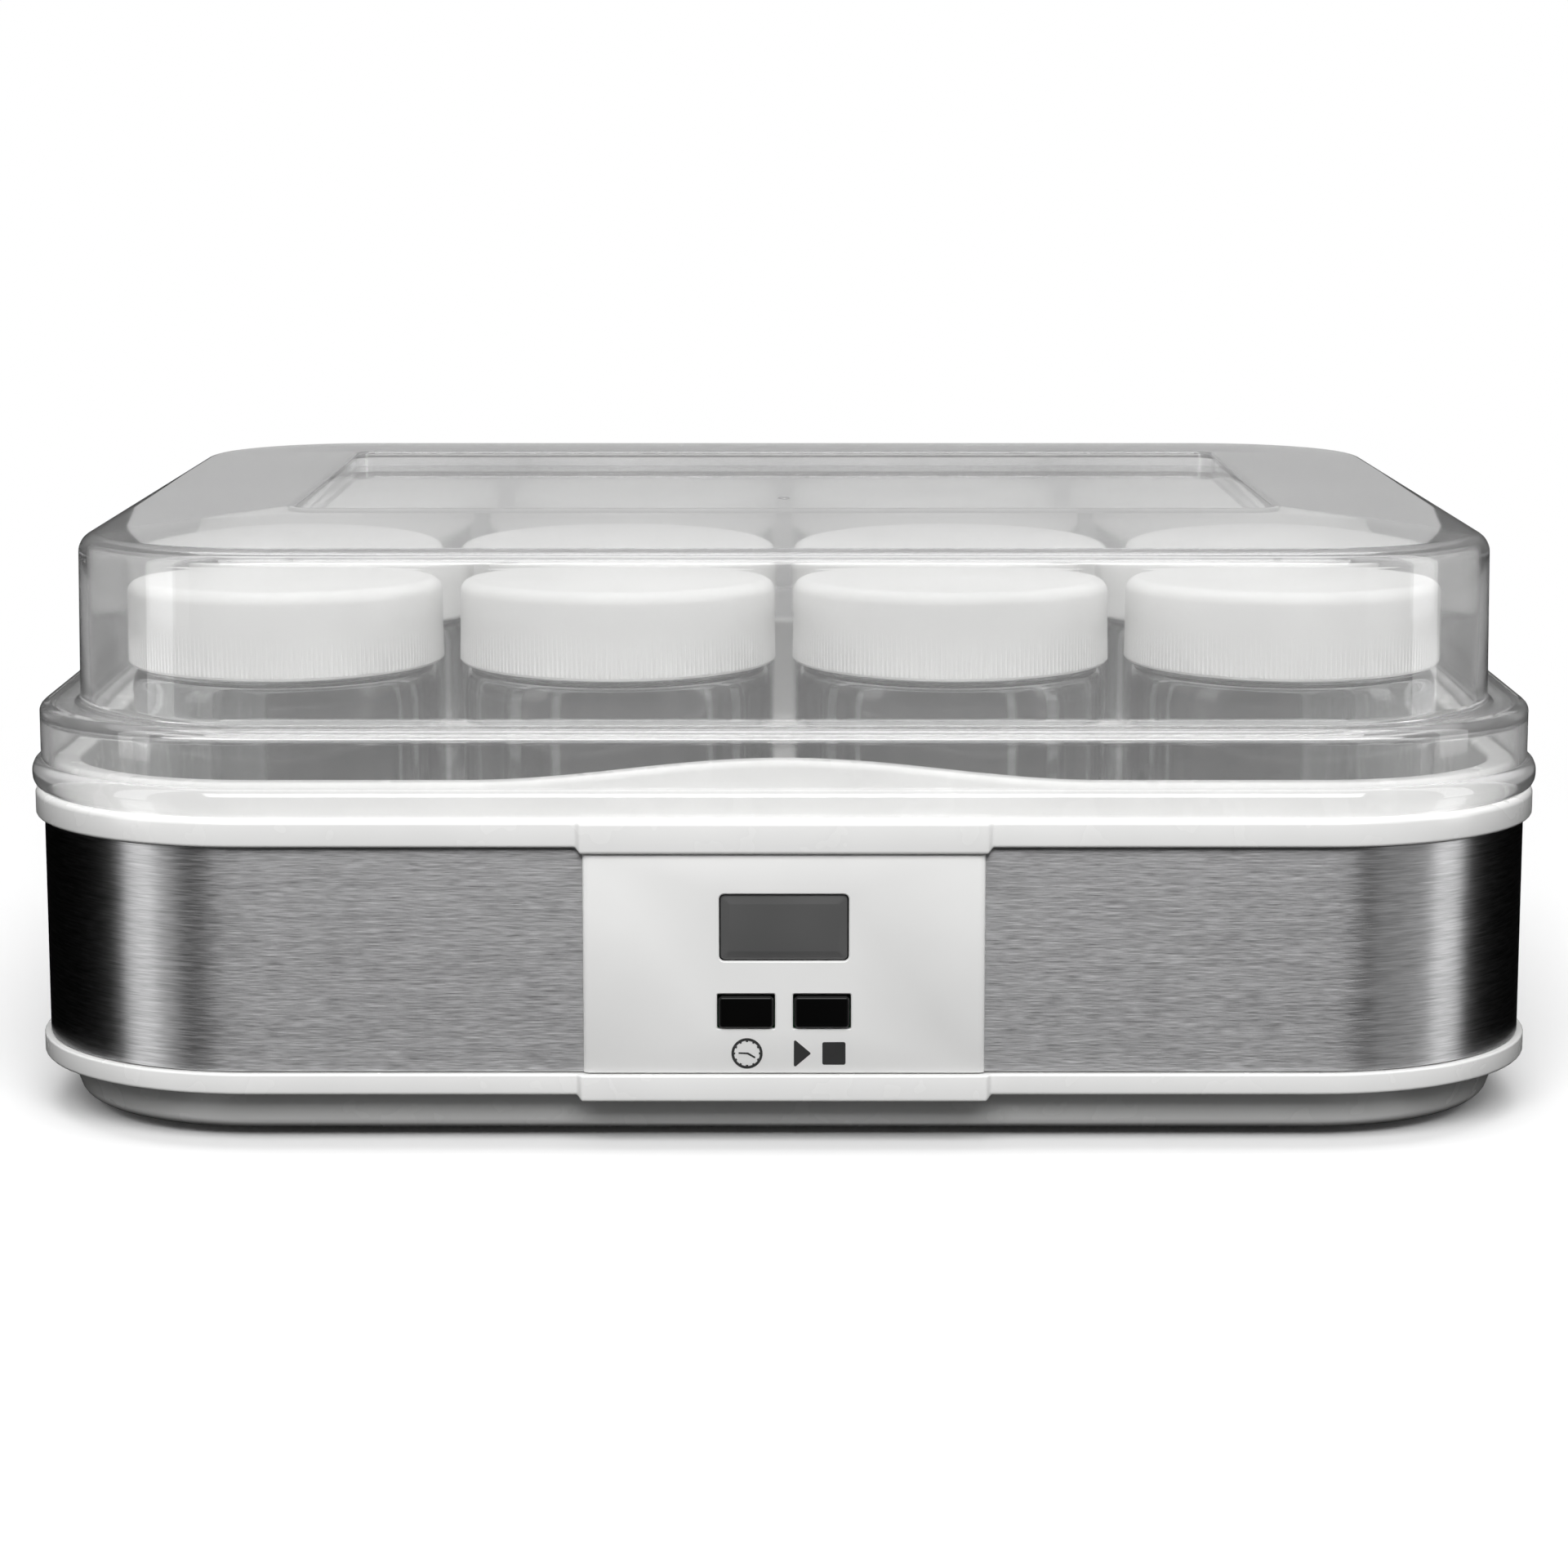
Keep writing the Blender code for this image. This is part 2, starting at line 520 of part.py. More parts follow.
def make_lid(finish):
    """Clear cover: bead at its foot, skirt, ledge, upper box and the sunken top panel."""
    def upper_ring(level, inset):
        return ring(level, LID_UPPER_WIDTH - 2 * inset, LID_UPPER_DEPTH - 2 * inset, LID_UPPER_CORNER - inset)

    def recess_ring(level, outset):
        return ring(level, RECESS_WIDTH + 2 * outset, RECESS_DEPTH + 2 * outset,
                    RECESS_CORNER + outset, shift=RECESS_SHIFT)

    under_top = LID_TOP - LID_WALL
    under_ledge = LEDGE_TOP - LID_WALL
    skirt_inside = LID_SKIRT_PROUD - LID_WALL
    bead_top = LID_BOTTOM + LID_BEAD_HEIGHT
    half_round = LID_TOP_ROUND * (1 - math.sqrt(0.5))
    loft("lid", [
        recess_ring(RECESS_FLOOR - LID_WALL, LID_WALL),
        recess_ring(under_top, LID_WALL),
        upper_ring(under_top, LID_TOP_ROUND),
        upper_ring(LID_TOP - LID_TOP_ROUND, LID_WALL),
        upper_ring(under_ledge, LID_WALL - LID_DRAFT),
        body_ring(under_ledge, skirt_inside - LID_EDGE),
        body_ring(under_ledge - LID_EDGE, skirt_inside),
        body_ring(LID_BOTTOM, skirt_inside),
        body_ring(LID_BOTTOM, LID_BEAD_PROUD - LID_BEAD_EDGE),
        body_ring(LID_BOTTOM + LID_BEAD_EDGE, LID_BEAD_PROUD),
        body_ring(bead_top - LID_BEAD_EDGE, LID_BEAD_PROUD),
        body_ring(bead_top, LID_SKIRT_PROUD),
        body_ring(LEDGE_TOP - LID_EDGE, LID_SKIRT_PROUD),
        body_ring(LEDGE_TOP, LID_SKIRT_PROUD - LID_EDGE),
        upper_ring(LEDGE_TOP, -LID_DRAFT),
        upper_ring(LID_TOP - LID_TOP_ROUND, 0),
        upper_ring(LID_TOP - half_round, half_round),
        upper_ring(LID_TOP, LID_TOP_ROUND),
        recess_ring(LID_TOP, 0),
        recess_ring(RECESS_FLOOR, 0),
    ], finish)


# ---- jars --------------------------------------------------------------------------
def make_jars(glass, cap_finish):
    inner = JAR_RADIUS - JAR_WALL
    neck_inner = NECK_RADIUS - JAR_WALL
    neck_foot = JAR_HEIGHT - JAR_NECK_HEIGHT
    jar_mesh = turned_mesh("jar", [
        (0, JAR_WALL),
        (inner - JAR_FOOT, JAR_WALL),
        (inner, JAR_WALL + JAR_FOOT),
        (inner, neck_foot - JAR_SHOULDER),
        (neck_inner, neck_foot),
        (neck_inner, JAR_HEIGHT),
        (NECK_RADIUS, JAR_HEIGHT),
        (NECK_RADIUS, neck_foot),
        (JAR_RADIUS, neck_foot - JAR_SHOULDER),
        (JAR_RADIUS, JAR_FOOT),
        (JAR_RADIUS - JAR_FOOT, 0),
        (0, 0),
    ])
    cap_mesh = turned_mesh("jar_cap", [
        (0, CAP_HEIGHT),
        (CAP_RADIUS - CAP_EDGE, CAP_HEIGHT),
        (CAP_RADIUS, CAP_HEIGHT - CAP_EDGE),
        (CAP_RADIUS, 0),
        (CAP_RADIUS - CAP_WALL, 0),
        (CAP_RADIUS - CAP_WALL, CAP_HEIGHT - CAP_WALL),
        (0, CAP_HEIGHT - CAP_WALL),
    ])
    for row, row_name in enumerate(JAR_ROWS):
        for column in range(JAR_COLUMNS):
            label = f"{row_name}_{column + 1}"
            jar_x = (column - (JAR_COLUMNS - 1) / 2) * COLUMN_PITCH
            jar_y = (row - (len(JAR_ROWS) - 1) / 2) * ROW_PITCH
            jar = turned("jar_" + label, jar_mesh, glass, (jar_x, jar_y, JAR_BOTTOM))
            cap = turned("cap_" + label, cap_mesh, cap_finish, (0, 0, CAP_BOTTOM - JAR_BOTTOM))
            cap.parent = jar


# ---- controls ------------------------------------------------------------------------
def make_panel(finish):
    face = box("control_panel", (PANEL_WIDTH, PANEL_FACE, BAND_HEIGHT),
               (0, (PANEL_FRONT + FACE_BACK) / 2, PANEL_MIDDLE), finish)
    plug_front = FACE_BACK - PANEL_FACE / 2
    plug = box("panel_plug", (PLUG_WIDTH, PANEL_BACK - plug_front, PLUG_HEIGHT),
               (0, (PANEL_BACK + plug_front) / 2, PANEL_MIDDLE))
    combine(face, plug, "UNION")
    for name, side_x, side_z in CORNERS:
        post = cylinder("panel_post_" + name, POST_RADIUS, POST_LENGTH + OVERLAP,
                        (side_x * (BOARD_WIDTH / 2 - BOARD_POST_INSET),
                         PANEL_BACK + (POST_LENGTH - OVERLAP) / 2,
                         PANEL_MIDDLE + side_z * (BOARD_HEIGHT / 2 - BOARD_POST_INSET)), along="Y")
        combine(face, post, "UNION")
    cut_depth = 2 * (PANEL_BACK - PANEL_FRONT)
    cut_y = (PANEL_FRONT + PANEL_BACK) / 2
    window = box("window_cutout", (WINDOW_WIDTH, cut_depth, WINDOW_HEIGHT), (0, cut_y, WINDOW_LEVEL))
    combine(face, window, "DIFFERENCE")
    for side in (-1, 1):
        hole = box(f"button_cutout_{side}", (BUTTON_WIDTH + 2 * GAP, cut_depth, BUTTON_HEIGHT + 2 * GAP),
                   (side * BUTTON_SPACING / 2, cut_y, BUTTON_LEVEL))
        combine(face, hole, "DIFFERENCE")


def make_controls(window_finish, button_finish, board_finish, part_finish):
    """Window, buttons and the board behind the panel, from the front backwards."""
    window_front = PANEL_FRONT + WINDOW_SINK
    box("display_window", (WINDOW_WIDTH - 2 * GAP, PANEL_BACK - window_front, WINDOW_HEIGHT - 2 * GAP),
        (0, (PANEL_BACK + window_front) / 2, WINDOW_LEVEL), window_finish)
    lcd_front, lcd_back = PANEL_BACK + GAP, BOARD_FRONT - GAP
    box("lcd_module", (WINDOW_WIDTH + 2 * LCD_MARGIN, lcd_back - lcd_front, WINDOW_HEIGHT + 2 * LCD_MARGIN),
        (0, (lcd_front + lcd_back) / 2, WINDOW_LEVEL), part_finish)
    button_front = PANEL_FRONT - BUTTON_PROUD
    button_back = SWITCH_FRONT - BUTTON_TRAVEL - GAP
    for name, side in (("timer", -1), ("start_stop", 1)):
        place_x = side * BUTTON_SPACING / 2
        box(name + "_button", (BUTTON_WIDTH, button_back - button_front, BUTTON_HEIGHT),
            (place_x, (button_front + button_back) / 2, BUTTON_LEVEL), button_finish, edge=BUTTON_EDGE)
        box(name + "_switch", (SWITCH_SIZE, SWITCH_THICKNESS, SWITCH_SIZE),
            (place_x, SWITCH_FRONT + SWITCH_THICKNESS / 2, BUTTON_LEVEL), part_finish)
    box("control_board", (BOARD_WIDTH, BOARD_THICKNESS, BOARD_HEIGHT),
        (0, (BOARD_FRONT + BOARD_BACK) / 2, PANEL_MIDDLE), board_finish)


def make_ribbon(finish):
    """Flat cable from the back of the control board, under the tub, onto the power board."""
    behind_board = BOARD_BACK + GAP + RIBBON_THICKNESS / 2
    on_board = POWER_BOARD_TOP + GAP + RIBBON_THICKNESS / 2
    board_edge = POWER_BOARD_Y - POWER_BOARD_SIZE[1] / 2
    above_floor = TRAY_FLOOR + BOSS_HEIGHT
    wall_clearance = 0.006
    path = (
        (behind_board, PANEL_MIDDLE - BOARD_HEIGHT / 4),
        (behind_board, PANEL_MIDDLE - BOARD_HEIGHT / 2),
        (behind_board + wall_clearance, TRAY_RIM_TOP - LIP_HEIGHT / 2),
        (behind_board + 3 * wall_clearance, above_floor),
        (board_edge - 2 * wall_clearance, above_floor),
        (board_edge - wall_clearance / 2, on_board),
        (board_edge + wall_clearance, on_board),
    )
    bm = bmesh.new()
    rows = [[bm.verts.new((side * RIBBON_WIDTH / 2, y, z)) for side in (-1, 1)] for y, z in path]
    for near, far in zip(rows, rows[1:]):
        bm.faces.new((near[0], near[1], far[1], far[0]))
    ribbon = add_object("ribbon_cable", mesh_from(bm, "ribbon_cable"), finish)
    solid = ribbon.modifiers.new("thickness", "SOLIDIFY")
    solid.thickness = RIBBON_THICKNESS
    solid.offset = 0


# ---- heater and power board ------------------------------------------------------------
def make_heater(plate_finish, wire_finish, part_finish):
    box("heater_plate", (PLATE_WIDTH, PLATE_DEPTH, PLATE_THICKNESS),
        (0, 0, PLATE_UNDERSIDE + PLATE_THICKNESS / 2), plate_finish)
    level = PLATE_UNDERSIDE - GAP - HEATER_RADIUS
    half_run = PLATE_WIDTH / 2 - HEATER_END_MARGIN
    points = []
    for index in range(HEATER_RUNS):
        run_y = (index - (HEATER_RUNS - 1) / 2) * HEATER_PITCH
        side = 1 if index % 2 == 0 else -1
        points.append((-side * half_run, run_y, level))
        points.append((side * half_run, run_y, level))
        if index < HEATER_RUNS - 1:
            for step in range(1, TURN_STEPS):
                angle = math.pi * step / TURN_STEPS
                points.append((side * (half_run + HEATER_PITCH / 2 * math.sin(angle)),
                               run_y + HEATER_PITCH / 2 * (1 - math.cos(angle)), level))
    wire("heater_wire", points, HEATER_RADIUS, wire_finish)
    sensors = (("temperature_sensor", SENSOR_SIZE, SENSOR_X), ("thermal_cutout", CUTOUT_SIZE, 0))
    for name, size, place_x in sensors:
        box(name, size, (place_x, 0, PLATE_UNDERSIDE - GAP - size[2] / 2), part_finish)


def make_power_board(board_finish, part_finish, lead_finish):
    box("power_board", (*POWER_BOARD_SIZE, BOARD_THICKNESS),
        (0, POWER_BOARD_Y, POWER_BOARD_BOTTOM + BOARD_THICKNESS / 2), board_finish)
    seat = POWER_BOARD_TOP + GAP
    for name, size, (place_x, place_y) in BOARD_LAYOUT:
        box(name, size, (place_x, POWER_BOARD_Y + place_y, seat + size[2] / 2), part_finish)
    capacitor_x, capacitor_y = CAPACITOR_PLACE
    cylinder("capacitor", CAPACITOR_RADIUS, CAPACITOR_HEIGHT,
             (capacitor_x, POWER_BOARD_Y + capacitor_y, seat + CAPACITOR_HEIGHT / 2), part_finish)
    heights = {name: size[2] for name, size, place in BOARD_LAYOUT}
    terminal_top = seat + heights["terminal_block"]
    cutout_bottom = PLATE_UNDERSIDE - GAP - CUTOUT_SIZE[2]
    start = Vector((0, 0, cutout_bottom - GAP))
    end = Vector((TERMINAL_PLACE[0], POWER_BOARD_Y + TERMINAL_PLACE[1], terminal_top + GAP))
    bend = 4 * LEAD_RADIUS
    wire("heater_lead", [start, start - Vector((0, 0, bend)), (start + end) / 2,
                         end + Vector((0, 0, bend)), end], LEAD_RADIUS, lead_finish)


# ---- feet, screws and cord inlet --------------------------------------------------------
def make_feet_and_screws(rubber, steel):
    disc_top = TRAY_BOTTOM - GAP
    barb_bottom = TRAY_FLOOR + GAP
    foot_mesh = turned_mesh("foot", [
        (0, barb_bottom + FOOT_BARB_HEIGHT),
        (FOOT_STEM_RADIUS, barb_bottom + FOOT_BARB_HEIGHT),
        (FOOT_BARB_RADIUS, barb_bottom),
        (FOOT_STEM_RADIUS, barb_bottom),
        (FOOT_STEM_RADIUS, disc_top),
        (FOOT_RADIUS, disc_top),
        (FOOT_RADIUS, FOOT_EDGE),
        (FOOT_RADIUS - FOOT_EDGE, 0),
        (0, 0),
    ])
    seat = SCREW_SEAT - GAP
    screw_mesh = turned_mesh("screw", [
        (0, TUB_POST_BOTTOM + SCREW_GRIP),
        (SCREW_RADIUS, TUB_POST_BOTTOM + SCREW_GRIP - SCREW_RADIUS),
        (SCREW_RADIUS, seat),
        (SCREW_HEAD_RADIUS, seat),
        (SCREW_HEAD_RADIUS, seat - SCREW_HEAD_HEIGHT),
        (0, seat - SCREW_HEAD_HEIGHT),
    ])
    for name, side_x, side_y in CORNERS:
        turned("foot_" + name, foot_mesh, rubber, (side_x * FOOT_X, side_y * FOOT_Y, 0), SMALL_SIDES)
        turned("screw_" + name, screw_mesh, steel, (side_x * POST_X, side_y * TUB_POST_Y, 0), SMALL_SIDES)


def make_inlet(finish):
    inlet_mesh = turned_mesh("cord_inlet", [
        (INLET_BORE_RADIUS, INLET_FLANGE),
        (INLET_FLANGE_RADIUS, INLET_FLANGE),
        (INLET_FLANGE_RADIUS, 0),
        (INLET_NECK_RADIUS, 0),
        (INLET_NECK_RADIUS, -INLET_LENGTH),
        (INLET_BORE_RADIUS, -INLET_LENGTH),
    ], closed=True)
    inlet = turned("cord_inlet", inlet_mesh, finish,
                   (INLET_X, -BAND_FRONT + GAP, BAND_BOTTOM + INLET_LIFT), SMALL_SIDES)
    inlet.rotation_euler.x = math.radians(-90)


def main():
    clear_scene()
    white = finish_material("white moulded plastic", (0.85, 0.85, 0.85), 0.3)
    clear = finish_material("clear moulded plastic", (0.92, 0.92, 0.92), 0.1, alpha=0.3)
    glass = finish_material("jar glass", (0.95, 0.95, 0.95), 0.05, alpha=0.35)
    steel = finish_material("brushed stainless steel", (0.56, 0.56, 0.56), 0.35, metallic=1.0)
    black_gloss = finish_material("black gloss plastic", (0.01, 0.01, 0.01), 0.15)
    grey_window = finish_material("grey display window", (0.10, 0.10, 0.10), 0.15)
    dark_plastic = finish_material("dark component plastic", (0.05, 0.05, 0.05), 0.5)
    board = finish_material("circuit board", (0.05, 0.20, 0.08), 0.5)
    aluminium = finish_material("aluminium sheet", (0.80, 0.80, 0.80), 0.4, metallic=1.0)
    silicone = finish_material("red silicone sleeve", (0.45, 0.08, 0.05), 0.6)
    grey_cable = finish_material("grey cable", (0.35, 0.35, 0.35), 0.6)
    rubber = finish_material("grey rubber", (0.12, 0.12, 0.12), 0.8)
    make_tray(white)
    make_band(steel)
    make_tub(white)
    make_lid(clear)
    make_jars(glass, white)
    make_panel(white)
    make_controls(grey_window, black_gloss, board, dark_plastic)
    make_ribbon(grey_cable)
    make_heater(aluminium, silicone, dark_plastic)
    make_power_board(board, dark_plastic, silicone)
    make_feet_and_screws(rubber, steel)
    make_inlet(dark_plastic)


main()
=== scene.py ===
import math

import bmesh
import bpy
from mathutils import Matrix, Vector


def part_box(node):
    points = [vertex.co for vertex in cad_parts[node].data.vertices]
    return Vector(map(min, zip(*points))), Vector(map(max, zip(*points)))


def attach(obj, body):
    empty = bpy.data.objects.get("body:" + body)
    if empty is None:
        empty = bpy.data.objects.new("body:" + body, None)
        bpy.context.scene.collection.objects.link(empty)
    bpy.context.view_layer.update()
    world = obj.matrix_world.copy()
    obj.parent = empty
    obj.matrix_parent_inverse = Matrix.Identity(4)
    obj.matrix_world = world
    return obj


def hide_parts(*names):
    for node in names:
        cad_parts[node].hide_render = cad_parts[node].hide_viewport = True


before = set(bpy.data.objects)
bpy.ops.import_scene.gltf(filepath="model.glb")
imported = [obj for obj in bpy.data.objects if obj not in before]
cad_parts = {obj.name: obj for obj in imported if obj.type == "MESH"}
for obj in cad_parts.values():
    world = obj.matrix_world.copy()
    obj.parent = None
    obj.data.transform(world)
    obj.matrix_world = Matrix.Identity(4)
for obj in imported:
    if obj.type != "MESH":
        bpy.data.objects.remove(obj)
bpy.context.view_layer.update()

# Looks of a yogurt maker: twelve capped jars in a heated tub, under a clear two-step lid.
# Lengths are in metres. A value named in millimetres is multiplied by MM.
MM = 0.001

# ---- sizes of the finished surfaces -------------------------------------------------
CORNER_STEPS = 20            # facets in each rounded corner seen from above
TURN_STEPS = 72              # facets round a jar or a cap
FILLET_STEPS = 5             # facets across a moulded edge

BAND_LOW, BAND_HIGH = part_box("steel_band")
LID_LOW, LID_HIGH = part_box("lid")
TRAY_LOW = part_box("bottom_tray")[0]
PANEL_LOW, PANEL_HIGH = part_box("control_panel")
WINDOW_LOW, WINDOW_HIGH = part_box("display_window")
BODY_WIDTH = BAND_HIGH.x - BAND_LOW.x
BODY_DEPTH = BAND_HIGH.y - BAND_LOW.y
BODY_CORNER = 53 * MM
BAND_WALL = 0.8 * MM
BAND_LIP = BAND_WALL + 0.3 * MM   # inside of the band, less its clearance

LID_WALL = 2 * MM
LID_STEP_X, LID_STEP_Y = 9.5 * MM, 8 * MM    # band's outside to the lid's upper box
LID_UPPER_CORNER = 45 * MM
LID_LEDGE = LID_LOW.z + 19.7 * MM
LID_TOP_FILLET = 4.5 * MM
LID_LEDGE_FILLET = 2.2 * MM
LID_FOOT_FILLET = 1.6 * MM        # inner corner where the upper box meets the ledge
LID_DRAFT = 0.5 * MM
LID_BEAD = 6.7 * MM               # height of the rolled foot
LID_BEAD_PROUD = 2.6 * MM
LID_SKIRT_PROUD = 0.5 * MM
RECESS_SIDE, RECESS_FRONT, RECESS_BACK = 43 * MM, 95 * MM, 31 * MM
RECESS_CORNER = 6 * MM
RECESS_SINK = 4 * MM
RECESS_FILLET = 0.9 * MM

TUB_WALL = 2.5 * MM
RIM_LOW = BAND_HIGH.z + 0.3 * MM
RIM_HIGH = LID_LOW.z - 0.3 * MM
RIM_PROUD = 2 * MM
RIM_FILLET = 1.3 * MM
RIM_LOW_FILLET = 0.8 * MM
LIP_RISE = 7.7 * MM
LIP_OUTER, LIP_INNER = 2.5 * MM, 9 * MM
LIP_FILLET = 1.6 * MM
WELL_DRAFT = 5 * MM
WELL_FILLET = 4 * MM
HUMP_HEIGHT = 5 * MM
HUMP_HALF_WIDTH = 72 * MM
PAD_HALF_WIDTH = 46 * MM          # forward step of both rims over the panel
PAD_BLEND = 1.6 * MM
RIM_PAD_PROUD = 1 * MM
TRAY_PAD_PROUD = 1.2 * MM
PAD_DROP = 1.3 * MM               # how far both steps reach below their rims

TRAY_WALL = 2.5 * MM
TRAY_RIM_LOW = TRAY_LOW.z + 10.3 * MM
TRAY_RIM_HIGH = TRAY_RIM_LOW + 4.9 * MM
TRAY_RIM_PROUD = 1.5 * MM
TRAY_SIDE_INSET, TRAY_TURN_INSET, TRAY_FOOT_INSET = 4.25 * MM, 7.5 * MM, 11.5 * MM
TRAY_TURN_HEIGHT = 2.5 * MM
TRAY_FILLET = 0.9 * MM
TRAY_TOP_FILLET = 0.5 * MM
VENTS, VENT_PITCH = 6, 7 * MM
LIP_HEIGHT = 4 * MM
LIP_WALL = 2.2 * MM

CAP_RIBS = 200
CAP_RIB_PROUD = 0.22 * MM
CAP_RIB_HEIGHT = 13 * MM
CAP_FILLET = 3.2 * MM
CAP_WALL = 1.6 * MM
JAR_WALL = 3 * MM
JAR_NECK_HEIGHT = 20.6 * MM
JAR_NECK_GAP = 2.7 * MM           # cap's outside to the neck's outside
JAR_SHOULDER = 5 * MM
JAR_BEAD = 0.7 * MM

JAR_ROWS = ("front", "middle", "back")
JAR_COLUMNS = 4
JARS = [f"{row}_{column + 1}" for row in JAR_ROWS for column in range(JAR_COLUMNS)]
CORNERS = ("front_left", "front_right", "back_left", "back_right")


# ---- node and material helpers --------------------------------------------------------
def colour(code):
    """A colour as it shows on screen, '#rrggbb', in the linear values that shaders take."""
    parts = [int(code[at:at + 2], 16) / 255 for at in (1, 3, 5)]
    return [c / 12.92 if c <= 0.04045 else ((c + 0.055) / 1.055) ** 2.4 for c in parts] + [1.0]


def add_node(tree, kind, inputs=None, **settings):
    """Adds a node, sets its properties, then sets or links its inputs by name or number."""
    made = tree.nodes.new(kind)
    for name, value in settings.items():
        setattr(made, name, value)
    for name, value in (inputs or {}).items():
        if isinstance(value, bpy.types.NodeSocket):
            tree.links.new(value, made.inputs[name])
        else:
            made.inputs[name].default_value = value
    return made


def new_material(name):
    """An empty material with its tree and the Object coordinate that its patterns read."""
    made = bpy.data.materials.new(name)
    made.use_nodes = True
    tree = made.node_tree
    tree.nodes.clear()
    spot = add_node(tree, "ShaderNodeTexCoord").outputs["Object"]
    return made, tree, spot


def finish_surface(tree, shader):
    add_node(tree, "ShaderNodeOutputMaterial", {"Surface": shader})


def speckle(tree, spot, size, detail=2.0, stretch=(1, 1, 1)):
    """Noise whose blotches measure about size, in metres, longer where stretch is over 1."""
    scaled = add_node(tree, "ShaderNodeMapping", {"Vector": spot, "Scale": [1 / (size * s) for s in stretch]})
    noise = {"Vector": scaled.outputs[0], "Scale": 1.0, "Detail": detail}
    return add_node(tree, "ShaderNodeTexNoise", noise).outputs[0]


def spread(tree, value, low, high):
    """Maps noise, which lies mostly between 0.3 and 0.7, onto low to high."""
    return add_node(tree, "ShaderNodeMapRange", {"Value": value, "From Min": 0.3, "From Max": 0.7,
                                                 "To Min": low, "To Max": high}).outputs[0]


def tint(tree, value, first, second):
    mixed = add_node(tree, "ShaderNodeMix", {"Factor": value}, data_type="RGBA")
    mixed.inputs[6].default_value = colour(first)
    mixed.inputs[7].default_value = colour(second)
    return mixed.outputs[2]


def relief(tree, value, height, strength=1.0):
    """Bump of the given height, in metres."""
    return add_node(tree, "ShaderNodeBump", {"Height": value, "Distance": height, "Strength": strength}).outputs[0]


def moulded(name, light, dark, rough_low, rough_high, texture=0.35 * MM, depth=0.004 * MM, **sockets):
    """Injection-moulded plastic or rubber: faint flow tone, fine spark texture, uneven gloss."""
    made, tree, spot = new_material(name)
    flow = spread(tree, speckle(tree, spot, 30 * MM), 0, 1)
    grain = speckle(tree, spot, texture, detail=1.0)
    shader = add_node(tree, "ShaderNodeBsdfPrincipled", {
        "Base Color": tint(tree, flow, light, dark),
        "Roughness": spread(tree, speckle(tree, spot, 9 * MM), rough_low, rough_high),
        "Normal": relief(tree, grain, depth),
    })
    for socket, value in sockets.items():
        shader.inputs[socket.replace("_", " ")].default_value = value
    finish_surface(tree, shader.outputs[0])
    return made


def clear_solid(name, shade, haze_shade, clarity, rough, ior, wave, lamp_shade):
    """Clear glass or plastic. Lamps reach what is behind it, dimmed by lamp_shade."""
    made, tree, spot = new_material(name)
    ripple = speckle(tree, spot, wave, detail=1.0)
    shader = add_node(tree, "ShaderNodeBsdfPrincipled", {
        "Base Color": tint(tree, spread(tree, speckle(tree, spot, 40 * MM), 0, 1), shade, haze_shade),
        "Roughness": rough, "IOR": ior, "Transmission Weight": clarity,
        "Normal": relief(tree, ripple, 0.0005 * MM),
    })
    lamp_path = add_node(tree, "ShaderNodeBsdfTransparent", {"Color": colour(lamp_shade)})
    ray = add_node(tree, "ShaderNodeLightPath").outputs["Is Shadow Ray"]
    mixed = add_node(tree, "ShaderNodeMixShader", {0: ray, 1: shader.outputs[0], 2: lamp_path.outputs[0]})
    finish_surface(tree, mixed.outputs[0])
    return made


# ---- materials, each named for what it is and how its surface was made ---------------------
def brushed_stainless():
    """Stainless sheet brushed along its length: fine level scratches that stretch a highlight upright.
    Real scratches are 0.05 mm apart; they are drawn 0.16 mm apart so that they show."""
    made, tree, spot = new_material("brushed stainless steel")
    fine = speckle(tree, spot, 0.16 * MM, detail=2.0, stretch=(28, 28, 1))
    coarse = speckle(tree, spot, 0.5 * MM, detail=2.0, stretch=(24, 24, 1))
    both = add_node(tree, "ShaderNodeMath", {0: fine, 1: coarse}, operation="ADD").outputs[0]
    half = add_node(tree, "ShaderNodeMath", {0: both, 1: 0.5}, operation="MULTIPLY").outputs[0]
    around = add_node(tree, "ShaderNodeTangent", direction_type="RADIAL", axis="Z").outputs[0]
    shader = add_node(tree, "ShaderNodeBsdfPrincipled", {
        "Base Color": tint(tree, spread(tree, half, 0, 1), "#9c9c9d", "#d4d4d5"),
        "Roughness": spread(tree, fine, 0.30, 0.42),
        "Metallic": 1.0, "Anisotropic": 0.9, "Anisotropic Rotation": 0.25, "Tangent": around,
        "Normal": relief(tree, half, 0.006 * MM),
    })
    finish_surface(tree, shader.outputs[0])
    return made


WHITE_ABS = moulded("gloss white ABS, moulded", "#f0f0ef", "#ebebea", 0.20, 0.30, Coat_Weight=0.2, Coat_Roughness=0.08)
PANEL_ABS = moulded("satin white ABS, moulded", "#ebebea", "#e6e6e5", 0.30, 0.40)
CAP_PP = moulded("white polypropylene, moulded", "#ebebea", "#e6e6e5", 0.34, 0.46)
BLACK_ABS = moulded("piano black ABS, polished", "#060606", "#090909", 0.05, 0.10, depth=0.001 * MM,
                     Specular_IOR_Level=0.2)
WINDOW_PMMA = moulded("smoked acrylic, polished", "#565656", "#5e5e5e", 0.06, 0.12, depth=0.001 * MM)
PRINT_INK = moulded("dark grey pad-printed ink", "#2b2b2b", "#303030", 0.35, 0.5)
GREY_RUBBER = moulded("grey rubber, moulded", "#3a3a3a", "#444444", 0.7, 0.85, texture=0.6 * MM, depth=0.02 * MM)
DARK_NYLON = moulded("black nylon, moulded", "#161616", "#1e1e1e", 0.40, 0.55)
BOARD_GREEN = moulded("green solder mask on FR4", "#1c5a34", "#236b3e", 0.30, 0.42)
